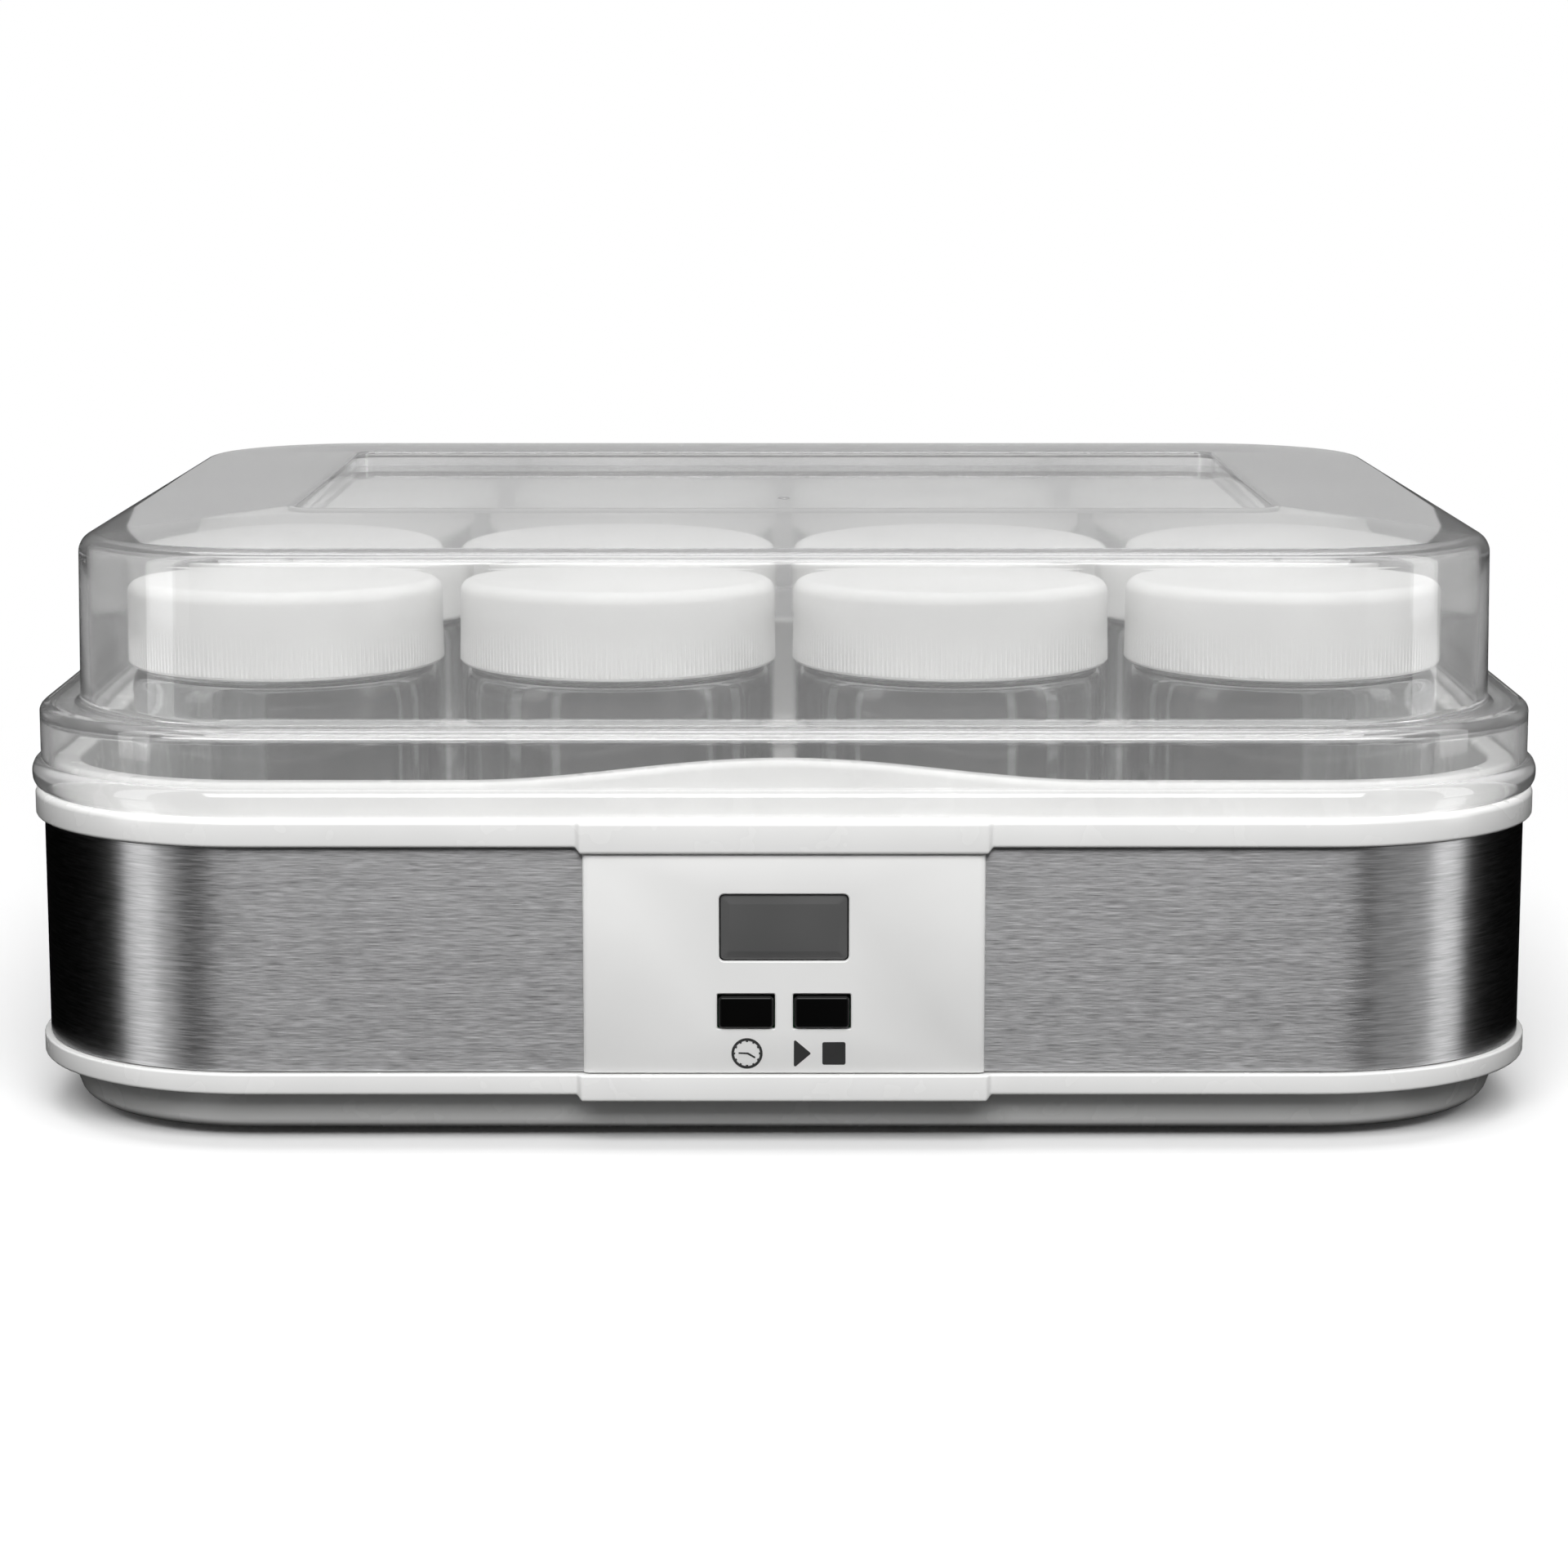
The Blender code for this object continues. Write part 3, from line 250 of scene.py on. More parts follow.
SLEEVE_RED = moulded("red silicone sleeve, extruded", "#8c3a2c", "#9a4634", 0.55, 0.7)
CABLE_GREY = moulded("grey PVC ribbon, extruded", "#8a8a8a", "#969696", 0.5, 0.6)
ALU_SHEET = moulded("mill-finish aluminium sheet, rolled", "#c8c8c9", "#d6d6d6", 0.30, 0.45, Metallic=1.0)
ZINC_STEEL = moulded("zinc-plated screw steel", "#b4b4b2", "#c2c2c0", 0.25, 0.38, Metallic=1.0)
CLEAR_SAN = clear_solid("clear SAN, moulded", "#f6f6f6", "#f1f1f1", 0.90, 0.05, 1.49, 24 * MM, "#ececec")
JAR_GLASS = clear_solid("soda-lime glass, pressed", "#f6f7f7", "#f2f3f3", 1.0, 0.0, 1.52, 14 * MM, "#f6f6f6")
STEEL = brushed_stainless()


# ---- mesh helpers -----------------------------------------------------------------------
def settle(name, mesh, material, sharp_deg=40):
    """A finished mesh as an object at the origin, with its material and smooth shading."""
    mesh.materials.clear()
    mesh.materials.append(material)
    mesh.shade_smooth()
    mesh.set_sharp_from_angle(angle=math.radians(sharp_deg))
    piece = bpy.data.objects.new(name, mesh)
    bpy.context.scene.collection.objects.link(piece)
    return piece


def mesh_from(bm, name):
    bmesh.ops.recalc_face_normals(bm, faces=bm.faces)
    mesh = bpy.data.meshes.new(name)
    bm.to_mesh(mesh)
    bm.free()
    return mesh


def arc(centre, radius, start_deg, end_deg, steps=FILLET_STEPS):
    """Points of a circular arc, both ends included; radius may be a pair for an ellipse."""
    across, up = radius if isinstance(radius, tuple) else (radius, radius)
    points = []
    for step in range(steps + 1):
        angle = math.radians(start_deg + (end_deg - start_deg) * step / steps)
        points.append((centre[0] + across * math.cos(angle), centre[1] + up * math.sin(angle)))
    return points


def smooth_step(value):
    value = min(max(value, 0.0), 1.0)
    return value * value * (3 - 2 * value)


def hump(x):
    """How far the front lip rises at x."""
    return HUMP_HEIGHT * (1 + math.cos(math.pi * x / HUMP_HALF_WIDTH)) / 2 if abs(x) < HUMP_HALF_WIDTH else 0.0


def pad(x):
    """0 beside the panel, 1 over it, with a short blend."""
    return smooth_step((PAD_HALF_WIDTH + PAD_BLEND / 2 - abs(x)) / PAD_BLEND)


def front_places():
    """Places along the front side where the lip's hump and the rims' pads need points."""
    coarse = [HUMP_HALF_WIDTH * step / 24 for step in range(-24, 25)]
    fine = [side * (PAD_HALF_WIDTH + PAD_BLEND * step / 8) for side in (-1, 1) for step in range(-4, 5)]
    return sorted(set(round(x, 6) for x in coarse + fine))


FRONT_PLACES = front_places()


def ring(level, width, depth, radius, shift=0.0, front=None):
    """Rounded rectangle at one level. front(x) gives a step forward and a rise along its front."""
    points = []
    for side_x, side_y, start in ((1, -1, -90), (1, 1, 0), (-1, 1, 90), (-1, -1, 180)):
        centre = (side_x * (width / 2 - radius), side_y * (depth / 2 - radius) + shift)
        points += [(x, y, level) for x, y in arc(centre, radius, start, start + 90, CORNER_STEPS)]
    if front:
        for x in FRONT_PLACES:
            forward, rise = front(x)
            points.append((x, shift - depth / 2 - forward, level + rise))
    return points


def body_ring(level, outset, front=None):
    """A ring that follows the band's outside, moved outwards by outset."""
    return ring(level, BODY_WIDTH + 2 * outset, BODY_DEPTH + 2 * outset, BODY_CORNER + outset, front=front)


def loft_mesh(name, rings, closed=False):
    bm = bmesh.new()
    loops = [[bm.verts.new(point) for point in points] for points in rings]
    pairs = list(zip(loops, loops[1:]))
    if closed:
        pairs.append((loops[-1], loops[0]))
    else:
        bm.faces.new(loops[0])
        bm.faces.new(loops[-1])
    for near, far in pairs:
        for index in range(len(near)):
            bm.faces.new((near[index - 1], near[index], far[index], far[index - 1]))
    return mesh_from(bm, name)


def turned_mesh(name, profile, steps=TURN_STEPS, closed=False):
    """Turns (radius, height) points round Z. A point on the axis closes that end."""
    bm = bmesh.new()
    rows = []
    for radius, height in profile:
        if radius < 1e-7:
            rows.append([bm.verts.new((0, 0, height))] * steps)
            continue
        turns = [2 * math.pi * step / steps for step in range(steps)]
        rows.append([bm.verts.new((radius * math.cos(a), radius * math.sin(a), height)) for a in turns])
    pairs = list(zip(rows, rows[1:])) + ([(rows[-1], rows[0])] if closed else [])
    for near, far in pairs:
        for index in range(steps):
            corners = (near[index - 1], near[index], far[index], far[index - 1])
            bm.faces.new(list(dict.fromkeys(corners)))
    return mesh_from(bm, name)


def rounded_bar_mesh(name, low, high, radius, edge, steps=FILLET_STEPS):
    """A box with its corner radius seen from the front (X and Z) and a rounded front edge."""
    middle_x, middle_z = (low.x + high.x) / 2, (low.z + high.z) / 2
    rows = [(0.0, high.y)]
    rows += [(edge - out, y) for out, y in arc((0, low.y + edge), edge, 0, -90, steps)]
    rings = []
    for inset, y in rows:
        flat = ring(0, high.x - low.x - 2 * inset, high.z - low.z - 2 * inset, max(radius - inset, 0.05 * MM))
        rings.append([(middle_x + x, y, middle_z + z) for x, z, _ in flat])
    return loft_mesh(name, rings)


def cut(mesh, tools):
    """Cuts tool meshes out of a mesh and gives the result as a new mesh."""
    holder = bpy.data.objects.new("cut_holder", mesh)
    bpy.context.scene.collection.objects.link(holder)
    cutters = []
    for tool in tools:
        cutter = bpy.data.objects.new("cutter", tool)
        bpy.context.scene.collection.objects.link(cutter)
        cutters.append(cutter)
        modifier = holder.modifiers.new("cut", "BOOLEAN")
        modifier.object = cutter
        modifier.operation = "DIFFERENCE"
        modifier.solver = "EXACT"
    return plain_mesh(holder, cutters)


def plain_mesh(holder, helpers=()):
    """The evaluated mesh of holder, which is removed with its helpers."""
    bpy.context.view_layer.update()
    result = bpy.data.meshes.new_from_object(holder.evaluated_get(bpy.context.evaluated_depsgraph_get()))
    for used in (holder, *helpers):
        bpy.data.objects.remove(used)
    return result


def moved(mesh, offset, turn=None):
    """A copy of a mesh, turned and moved to its place."""
    copy = mesh.copy()
    copy.transform(Matrix.Translation(offset) @ (turn or Matrix.Identity(4)))
    return copy


def place(piece, body, node=None):
    """Parents a piece to the body that it rides on, and hides the frame node it stands for."""
    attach(piece, body)
    if node:
        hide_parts(node)
    return piece


def box_mesh(name, size, centre):
    bm = bmesh.new()
    bmesh.ops.create_cube(bm, size=1.0)
    bmesh.ops.transform(bm, matrix=Matrix.Translation(centre) @ Matrix.Diagonal((*size, 1)), verts=bm.verts)
    return mesh_from(bm, name)


# ---- geometry-node patterns -----------------------------------------------------------------
def ring_pattern(name, material):
    """Node tree: Count copies of a tapered bar set on a circle, pointing up or outwards."""
    tree = bpy.data.node_groups.new(name, "GeometryNodeTree")
    sockets = {}
    tree.interface.new_socket("Geometry", in_out="OUTPUT", socket_type="NodeSocketGeometry")
    for label, kind in (("Count", "Int"), ("Circle", "Float"), ("Foot", "Float"), ("Tip", "Float"),
                        ("Length", "Float"), ("Lift", "Float"), ("Outwards", "Bool")):
        socket = tree.interface.new_socket(label, in_out="INPUT", socket_type="NodeSocket" + kind)
        sockets[label] = socket.identifier
    given = tree.nodes.new("NodeGroupInput").outputs
    circle = add_node(tree, "GeometryNodeMeshCircle", {"Vertices": given["Count"], "Radius": given["Circle"]})
    bar = add_node(tree, "GeometryNodeMeshCone", {"Vertices": 6, "Radius Top": given["Tip"],
                                                  "Radius Bottom": given["Foot"], "Depth": given["Length"]})
    spot = add_node(tree, "GeometryNodeInputPosition").outputs[0]
    outward = add_node(tree, "FunctionNodeAlignRotationToVector", {"Vector": spot}, axis="Z").outputs[0]
    aim = add_node(tree, "GeometryNodeSwitch", {"Switch": given["Outwards"], "True": outward},
                   input_type="ROTATION").outputs[0]
    copies = add_node(tree, "GeometryNodeInstanceOnPoints", {
        "Points": circle.outputs[0], "Instance": bar.outputs["Mesh"], "Rotation": aim})
    lift = add_node(tree, "ShaderNodeCombineXYZ", {"Z": given["Lift"]}).outputs[0]
    raised = add_node(tree, "GeometryNodeTransform", {"Geometry": copies.outputs[0], "Translation": lift})
    real = add_node(tree, "GeometryNodeRealizeInstances", {"Geometry": raised.outputs[0]})
    painted = add_node(tree, "GeometryNodeSetMaterial", {"Geometry": real.outputs[0], "Material": material})
    result = tree.nodes.new("NodeGroupOutput")
    tree.links.new(painted.outputs[0], result.inputs[0])
    return tree, sockets


def pattern_mesh(pattern, **values):
    """Runs a pattern with its inputs set by name, and gives one plain mesh."""
    tree, sockets = pattern
    holder = bpy.data.objects.new("pattern", bpy.data.meshes.new("pattern"))
    bpy.context.scene.collection.objects.link(holder)
    modifier = holder.modifiers.new("pattern", "NODES")
    modifier.node_group = tree
    for label, value in values.items():
        modifier[sockets[label]] = value
    return plain_mesh(holder)


def joined(name, meshes):
    bm = bmesh.new()
    for mesh in meshes:
        bm.from_mesh(mesh)
    mesh = bpy.data.meshes.new(name)
    bm.to_mesh(mesh)
    bm.free()
    return mesh


# ---- lid, tub, band and tray ---------------------------------------------------------------
def make_lid():
    """One clear wall: rolled foot, skirt, rounded ledge, upper box and sunken top panel."""
    upper_width, upper_depth = BODY_WIDTH - 2 * LID_STEP_X, BODY_DEPTH - 2 * LID_STEP_Y
    recess_width = upper_width - 2 * RECESS_SIDE
    recess_depth = upper_depth - RECESS_FRONT - RECESS_BACK
    recess_shift = (RECESS_FRONT - RECESS_BACK) / 2
    top, foot = LID_HIGH.z, LID_LOW.z

    def upper(level, inset):
        return ring(level, upper_width - 2 * inset, upper_depth - 2 * inset, LID_UPPER_CORNER - inset)

    def recess(level, outset):
        return ring(level, recess_width + 2 * outset, recess_depth + 2 * outset,
                    RECESS_CORNER + outset, shift=recess_shift)

    def rows(maker, points):
        """points are (distance, level); each becomes one ring of maker."""
        return [maker(level, distance) for distance, level in points]

    under_top, under_ledge = top - LID_WALL, LID_LEDGE - LID_WALL
    skirt, skirt_inside = LID_SKIRT_PROUD, LID_SKIRT_PROUD - LID_WALL
    sunk = top - RECESS_SINK
    inner_fillet = LID_TOP_FILLET - LID_WALL
    bead_middle = foot + LID_BEAD / 2
    bead_out = LID_BEAD_PROUD - LID_SKIRT_PROUD
    rings = [recess(sunk - LID_WALL, LID_WALL - RECESS_FILLET)]
    rings += rows(recess, arc((LID_WALL - RECESS_FILLET, sunk - LID_WALL + RECESS_FILLET), RECESS_FILLET, -90, 0))
    rings += [recess(under_top, LID_WALL)]
    rings += rows(upper, [(LID_TOP_FILLET - x, z) for x, z in
                          arc((0, under_top - inner_fillet), inner_fillet, 90, 0)])
    rings += [upper(under_ledge, LID_WALL - LID_DRAFT)]
    rings += rows(body_ring, arc((skirt_inside - LID_LEDGE_FILLET, under_ledge - LID_LEDGE_FILLET),
                                 LID_LEDGE_FILLET, 90, 0))
    rings += [body_ring(foot + 0.4 * MM, skirt_inside), body_ring(foot, skirt_inside + 0.4 * MM)]
    rings += rows(body_ring, arc((skirt, bead_middle), (bead_out, LID_BEAD / 2), -90, 90, 3 * FILLET_STEPS))
    rings += rows(body_ring, arc((skirt - LID_LEDGE_FILLET, LID_LEDGE - LID_LEDGE_FILLET), LID_LEDGE_FILLET, 0, 90))
    rings += rows(upper, [(-x, z) for x, z in
                          arc((LID_DRAFT + LID_FOOT_FILLET, LID_LEDGE + LID_FOOT_FILLET),
                              LID_FOOT_FILLET, 270, 180)])
    rings += rows(upper, [(LID_TOP_FILLET - x, z) for x, z in
                          arc((0, top - LID_TOP_FILLET), LID_TOP_FILLET, 0, 90, 2 * FILLET_STEPS)])
    rings += rows(recess, arc((RECESS_FILLET, top - RECESS_FILLET), RECESS_FILLET, 90, 180))
    rings += [recess(sunk, 0)]
    lid = settle("clear_lid", loft_mesh("clear_lid", rings), CLEAR_SAN)
    place(lid, "lid", "lid")
    profile = [(0, 0.25 * MM), (1.2 * MM, 0.25 * MM), (1.6 * MM, 0.05 * MM), (1.6 * MM, 0), (0, 0)]
    gate = moved(turned_mesh("gate_mark", profile), (0, recess_shift / 2, sunk + 0.02 * MM))
    place(settle("lid_gate_mark", gate, CLEAR_SAN), "lid")


def make_tub():
    """White well: drafted wall, humped lip, rim with its forward step over the panel."""
    def lip(level, outset):
        return body_ring(level, outset, front=lambda x: (0, hump(x)))

    def plain(level, outset):
        return body_ring(level, outset, front=lambda x: (0, 0))

    def rim(level, outset, drop=0.0):
        return body_ring(level, outset, front=lambda x: (RIM_PAD_PROUD * pad(x), -drop * pad(x)))

    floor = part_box("jar_front_1")[0].z - 0.3 * MM
    underside, top = floor - TUB_WALL, RIM_HIGH + LIP_RISE
    floor_out = -(LIP_INNER + WELL_DRAFT)
    channel = -BAND_LIP - LIP_WALL
    low = RIM_LOW - LIP_HEIGHT
    rings = [plain(underside, floor_out + TUB_WALL - WELL_FILLET)]
    rings += [plain(z, x) for x, z in arc((floor_out + TUB_WALL - WELL_FILLET, underside + WELL_FILLET),
                                          WELL_FILLET, -90, 0)]
    rings += [plain(RIM_HIGH - TUB_WALL, -LIP_INNER + TUB_WALL), plain(RIM_HIGH - TUB_WALL, channel)]
    rings += [plain(low, channel)]
    rings += [plain(low, -BAND_LIP), plain(RIM_LOW, -BAND_LIP), plain(RIM_LOW, 0.3 * MM)]
    rings += [rim(z, x, PAD_DROP) for x, z in arc((RIM_PROUD - RIM_LOW_FILLET, RIM_LOW + RIM_LOW_FILLET),
                                                  RIM_LOW_FILLET, -90, 0)]
    rings += [rim(z, x) for x, z in arc((RIM_PROUD - RIM_FILLET, RIM_HIGH - RIM_FILLET), RIM_FILLET, 0, 90)]
    rings += [plain(RIM_HIGH, -LIP_OUTER + 0.6 * MM), plain(RIM_HIGH + 0.6 * MM, -LIP_OUTER)]
    rings += [lip(z, x) for x, z in arc((-LIP_OUTER - LIP_FILLET, top - LIP_FILLET), LIP_FILLET, 0, 90)]
    rings += [lip(z, x) for x, z in arc((-LIP_INNER + LIP_FILLET, top - LIP_FILLET), LIP_FILLET, 90, 180)]
    rings += [plain(z, x) for x, z in arc((floor_out - WELL_FILLET, floor + WELL_FILLET), WELL_FILLET, 0, -90)]
    tub = settle("white_tub", loft_mesh("white_tub", rings), WHITE_ABS)
    place(tub, "root", "inner_tub")


def make_band():
    """Steel sheet bent round the body, cut out behind the panel and for the cord inlet."""
    edge = 0.15 * MM
    rings = [
        body_ring(BAND_LOW.z, -BAND_WALL), body_ring(BAND_LOW.z, -edge), body_ring(BAND_LOW.z + edge, 0),
        body_ring(BAND_HIGH.z - edge, 0), body_ring(BAND_HIGH.z, -edge), body_ring(BAND_HIGH.z, -BAND_WALL),
    ]
    middle = (BAND_LOW.z + BAND_HIGH.z) / 2
    window = box_mesh("window", (80.6 * MM, 6 * MM, 43.8 * MM), (0, BAND_LOW.y, middle))
    low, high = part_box("cord_inlet")
    bush = turned_mesh("bush", [(0, 4 * MM), (6.3 * MM, 4 * MM), (6.3 * MM, -4 * MM), (0, -4 * MM)])
    turn = Matrix.Rotation(math.radians(-90), 4, "X")
    hole = moved(bush, ((low.x + high.x) / 2, BAND_HIGH.y, (low.z + high.z) / 2), turn)
    band = cut(loft_mesh("band", rings, closed=True), [window, hole])
    place(settle("brushed_band", band, STEEL, 30), "root", "steel_band")


def make_tray():
    """White base: flat vented bottom, tapered side, proud rim with its step under the panel."""
    def rim(level, outset, drop=0.0):
        return body_ring(level, outset, front=lambda x: (TRAY_PAD_PROUD * pad(x), -drop * pad(x)))

    def plain(level, outset):
        return body_ring(level, outset, front=lambda x: (0, 0))

    low, floor = TRAY_LOW.z, TRAY_LOW.z + TRAY_WALL
    upstand = TRAY_RIM_HIGH + LIP_HEIGHT
    turn_level = low + TRAY_TURN_HEIGHT
    foot_arc = arc((-TRAY_FOOT_INSET, turn_level + 1.5 * MM), (5 * MM, TRAY_TURN_HEIGHT + 1.5 * MM), -90, -15, 8)
    rings = [plain(z, x) for x, z in foot_arc]
    rings += [plain(TRAY_RIM_LOW - 0.3 * MM, -TRAY_SIDE_INSET), plain(TRAY_RIM_LOW, -TRAY_SIDE_INSET + 0.3 * MM)]
    rings += [rim(z, x, PAD_DROP) for x, z in arc((TRAY_RIM_PROUD - TRAY_FILLET, TRAY_RIM_LOW + TRAY_FILLET),
                                                  TRAY_FILLET, -90, 0)]
    rings += [rim(z, x) for x, z in arc((TRAY_RIM_PROUD - TRAY_TOP_FILLET, TRAY_RIM_HIGH - TRAY_TOP_FILLET),
                                        TRAY_TOP_FILLET, 0, 90)]
    rings += [plain(TRAY_RIM_HIGH, -BAND_LIP), plain(upstand, -BAND_LIP), plain(upstand, -BAND_LIP - LIP_WALL)]
    rings += [plain(TRAY_RIM_HIGH, -BAND_LIP - LIP_WALL), plain(TRAY_RIM_LOW, -TRAY_WALL - TRAY_SIDE_INSET)]
    rings += [plain(floor + TRAY_TURN_HEIGHT, -TRAY_WALL - TRAY_TURN_INSET), plain(floor, -TRAY_WALL - TRAY_FOOT_INSET)]
    cutters = []
    for index in range(VENTS):
        vent_y = -20 * MM + (index - (VENTS - 1) / 2) * VENT_PITCH
        cutters.append(box_mesh("vent", (50 * MM, 2.5 * MM, 8 * MM), (0, vent_y, low)))
    well = turned_mesh("well", [(0, 3.5 * MM), (3.5 * MM, 3.5 * MM), (3.5 * MM, -2 * MM), (0, -2 * MM)], 32)
    stem = turned_mesh("stem", [(0, 4 * MM), (3.1 * MM, 4 * MM), (3.1 * MM, -2 * MM), (0, -2 * MM)], 32)
    for corner in CORNERS:
        cutters.append(moved(well, middle_of("screw_" + corner, low)))
        cutters.append(moved(stem, middle_of("foot_" + corner, low)))
    tray = cut(loft_mesh("tray", rings), cutters)
    place(settle("white_tray", tray, WHITE_ABS), "root", "bottom_tray")


def middle_of(node, level):
    """The middle of a node seen from above, at a level."""
    low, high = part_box(node)
    return Vector(((low.x + high.x) / 2, (low.y + high.y) / 2, level))


# ---- jars -------------------------------------------------------------------------------------
def make_jars():
    """Pressed glass jars and screw caps whose grip ribs fade out below the cap's round edge."""
    low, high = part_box("jar_front_1")
    cap_low, cap_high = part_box("cap_front_1")
    height, cap_height = high.z - low.z, cap_high.z - cap_low.z
    cap_radius = (cap_high.x - cap_low.x) / 2
    radius = (high.x - low.x) / 2
    inner = radius - JAR_WALL
    neck = cap_radius - JAR_NECK_GAP
    neck_foot = height - JAR_NECK_HEIGHT
    shoulder_low = neck_foot - JAR_SHOULDER
    shoulder = (radius - neck, JAR_SHOULDER)
    foot = 3 * MM
    profile = [(0, JAR_WALL + 1 * MM), (inner / 2, JAR_WALL + 0.7 * MM)]
    profile += arc((inner - foot, JAR_WALL + foot), foot, -90, 0)
    profile += arc((neck - JAR_WALL, shoulder_low), (inner - neck + JAR_WALL, JAR_SHOULDER), 0, 90, 8)
    profile += [(neck - JAR_WALL, height - 1 * MM)]
    profile += arc((neck - JAR_WALL / 2, height - 1.5 * MM), 1.5 * MM, 180, 0)
    profile += [(neck, neck_foot + 3 * JAR_BEAD)]
    profile += arc((neck, neck_foot + 1.6 * JAR_BEAD), JAR_BEAD, 90, -90, 6)
    profile += arc((neck, shoulder_low), shoulder, 90, 0, 10)
    profile += arc((radius - foot, foot), foot, 0, -90)
    profile += [(inner - foot, 0.6 * MM), (inner / 2, 1.2 * MM), (0, 1.4 * MM)]
    glass = turned_mesh("jar_glass", profile)
    wall_radius = cap_radius - CAP_RIB_PROUD
    cap_profile = [(0, cap_height)]
    cap_profile += [(x, z) for x, z in arc((wall_radius - CAP_FILLET, cap_height - CAP_FILLET), CAP_FILLET, 90, 0, 10)]
    cap_profile += [(wall_radius, 0.8 * MM), (wall_radius - 0.3 * MM, 0), (wall_radius - CAP_WALL, 0)]
    cap_profile += [(wall_radius - CAP_WALL, cap_height - CAP_WALL - 1 * MM),
                    (wall_radius - CAP_WALL - 1 * MM, cap_height - CAP_WALL), (0, cap_height - CAP_WALL)]
    shell = turned_mesh("cap_shell", cap_profile, 2 * TURN_STEPS)
    ribs = pattern_mesh(ring_pattern("cap grip ribs", CAP_PP), Count=CAP_RIBS, Circle=wall_radius - 0.25 * MM,
                        Foot=0.25 * MM + CAP_RIB_PROUD, Tip=0.2 * MM, Length=CAP_RIB_HEIGHT,
                        Lift=0.6 * MM, Outwards=False)
    cap = joined("ribbed_cap", [shell, ribs])
    for label in JARS:
        glass_piece = settle("glass_" + label, moved(glass, middle_of("jar_" + label, low.z)), JAR_GLASS)
        place(glass_piece, "jar_" + label, "jar_" + label)
        cap_piece = settle("ribbed_cap_" + label, moved(cap, middle_of("cap_" + label, cap_low.z)), CAP_PP)
        place(cap_piece, "cap_" + label, "cap_" + label)


# ---- control panel ------------------------------------------------------------------------------
def make_panel():
    """Face with rounded flanks; the window and the buttons sit in chamfered openings."""
    face_back = BAND_LOW.y - 0.3 * MM
    half, flank, drop = (PANEL_HIGH.x - PANEL_LOW.x) / 2, 1.5 * MM, 1.1 * MM
    low_y, top = PANEL_LOW.y, min(PANEL_HIGH.z, RIM_LOW - PAD_DROP - 0.3 * MM)
    outline = [(-half, face_back)]
    outline += arc((-half + flank, low_y + drop), (flank, drop), 180, 270, 8)
    outline += arc((half - flank, low_y + drop), (flank, drop), 270, 360, 8)
    outline += [(half, face_back)]
    end = 0.5 * MM
    rings = []
    for level, inset in ((PANEL_LOW.z, end), (PANEL_LOW.z + end * 0.3, end * 0.3), (PANEL_LOW.z + end, 0),
                         (top - end, 0), (top - end * 0.3, end * 0.3), (top, end)):
        rings.append([(x, min(y + inset, face_back), level) for x, y in outline])
    openings = [opening_tool(WINDOW_LOW, WINDOW_HIGH, 0.3 * MM, 1.2 * MM)]
    for name in ("timer_button", "start_stop_button"):
        low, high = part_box(name)
        openings.append(opening_tool(low, high, 0.35 * MM, 0.4 * MM))
    face = cut(loft_mesh("panel_face", rings), openings)
    place(settle("panel_face", face, PANEL_ABS, 30), "root", "control_panel")


def opening_tool(low, high, clearance, corner):
    """A cutter for a node's opening in the panel, with a small chamfer at the panel's face."""
    chamfer = 0.25 * MM
    width, height = high.x - low.x + 2 * clearance, high.z - low.z + 2 * clearance
    rings = []
    for y, more in ((PANEL_LOW.y - 1 * MM, chamfer + 1 * MM), (PANEL_LOW.y + chamfer, 0), (BAND_LOW.y + 3 * MM, 0)):
        flat = ring(0, width + 2 * more, height + 2 * more, corner + more)
        rings.append([((low.x + high.x) / 2 + x, y, (low.z + high.z) / 2 + z) for x, z, _ in flat])
    return loft_mesh("opening", rings)


def make_window():
    """Smoked window: a raised middle with wide sloping edges."""
    rings = []
    for inset, y in ((0, WINDOW_HIGH.y), (0, WINDOW_LOW.y + 0.75 * MM), (0.25 * MM, WINDOW_LOW.y + 0.55 * MM),
                     (1.7 * MM, WINDOW_LOW.y + 0.08 * MM), (2.0 * MM, WINDOW_LOW.y)):
        flat = ring(0, WINDOW_HIGH.x - WINDOW_LOW.x - 2 * inset, WINDOW_HIGH.z - WINDOW_LOW.z - 2 * inset,
                    max(1.0 * MM - inset, 0.4 * MM))
        rings.append([(x, y, (WINDOW_LOW.z + WINDOW_HIGH.z) / 2 + z) for x, z, _ in flat])
    window = settle("smoked_window", loft_mesh("smoked_window", rings), WINDOW_PMMA, 12)
    place(window, "root", "display_window")


def make_buttons():
    for name in ("timer_button", "start_stop_button"):
        low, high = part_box(name)
        key = rounded_bar_mesh(name, low, high, 0.9 * MM, 0.8 * MM)
        place(settle(name + "_key", key, BLACK_ABS), name, name)


def flat_mark(name, outline, thickness=0.06 * MM):
    """A printed mark: an outline in X and Z laid on the panel's face."""
    front = PANEL_LOW.y
    rings = [[(x, y, z) for x, z in outline] for y in (front + 0.05 * MM, front - thickness)]
    return loft_mesh(name, rings)


def rounded_polygon(corners, radius, steps=4):
    """Corners given anticlockwise, each rounded to a radius."""
    points = []
    count = len(corners)
    for index in range(count):
        here = Vector(corners[index])
        back = (Vector(corners[index - 1]) - here).normalized()
        ahead = (Vector(corners[(index + 1) % count]) - here).normalized()
        half = back.angle(ahead) / 2
        centre = here + (back + ahead).normalized() * (radius / math.sin(half))
        first = here + back * (radius / math.tan(half)) - centre
        last = here + ahead * (radius / math.tan(half)) - centre
        for step in range(steps + 1):
            blend = first.lerp(last, step / steps).normalized() * radius
            points.append(tuple(centre + blend))
    return points


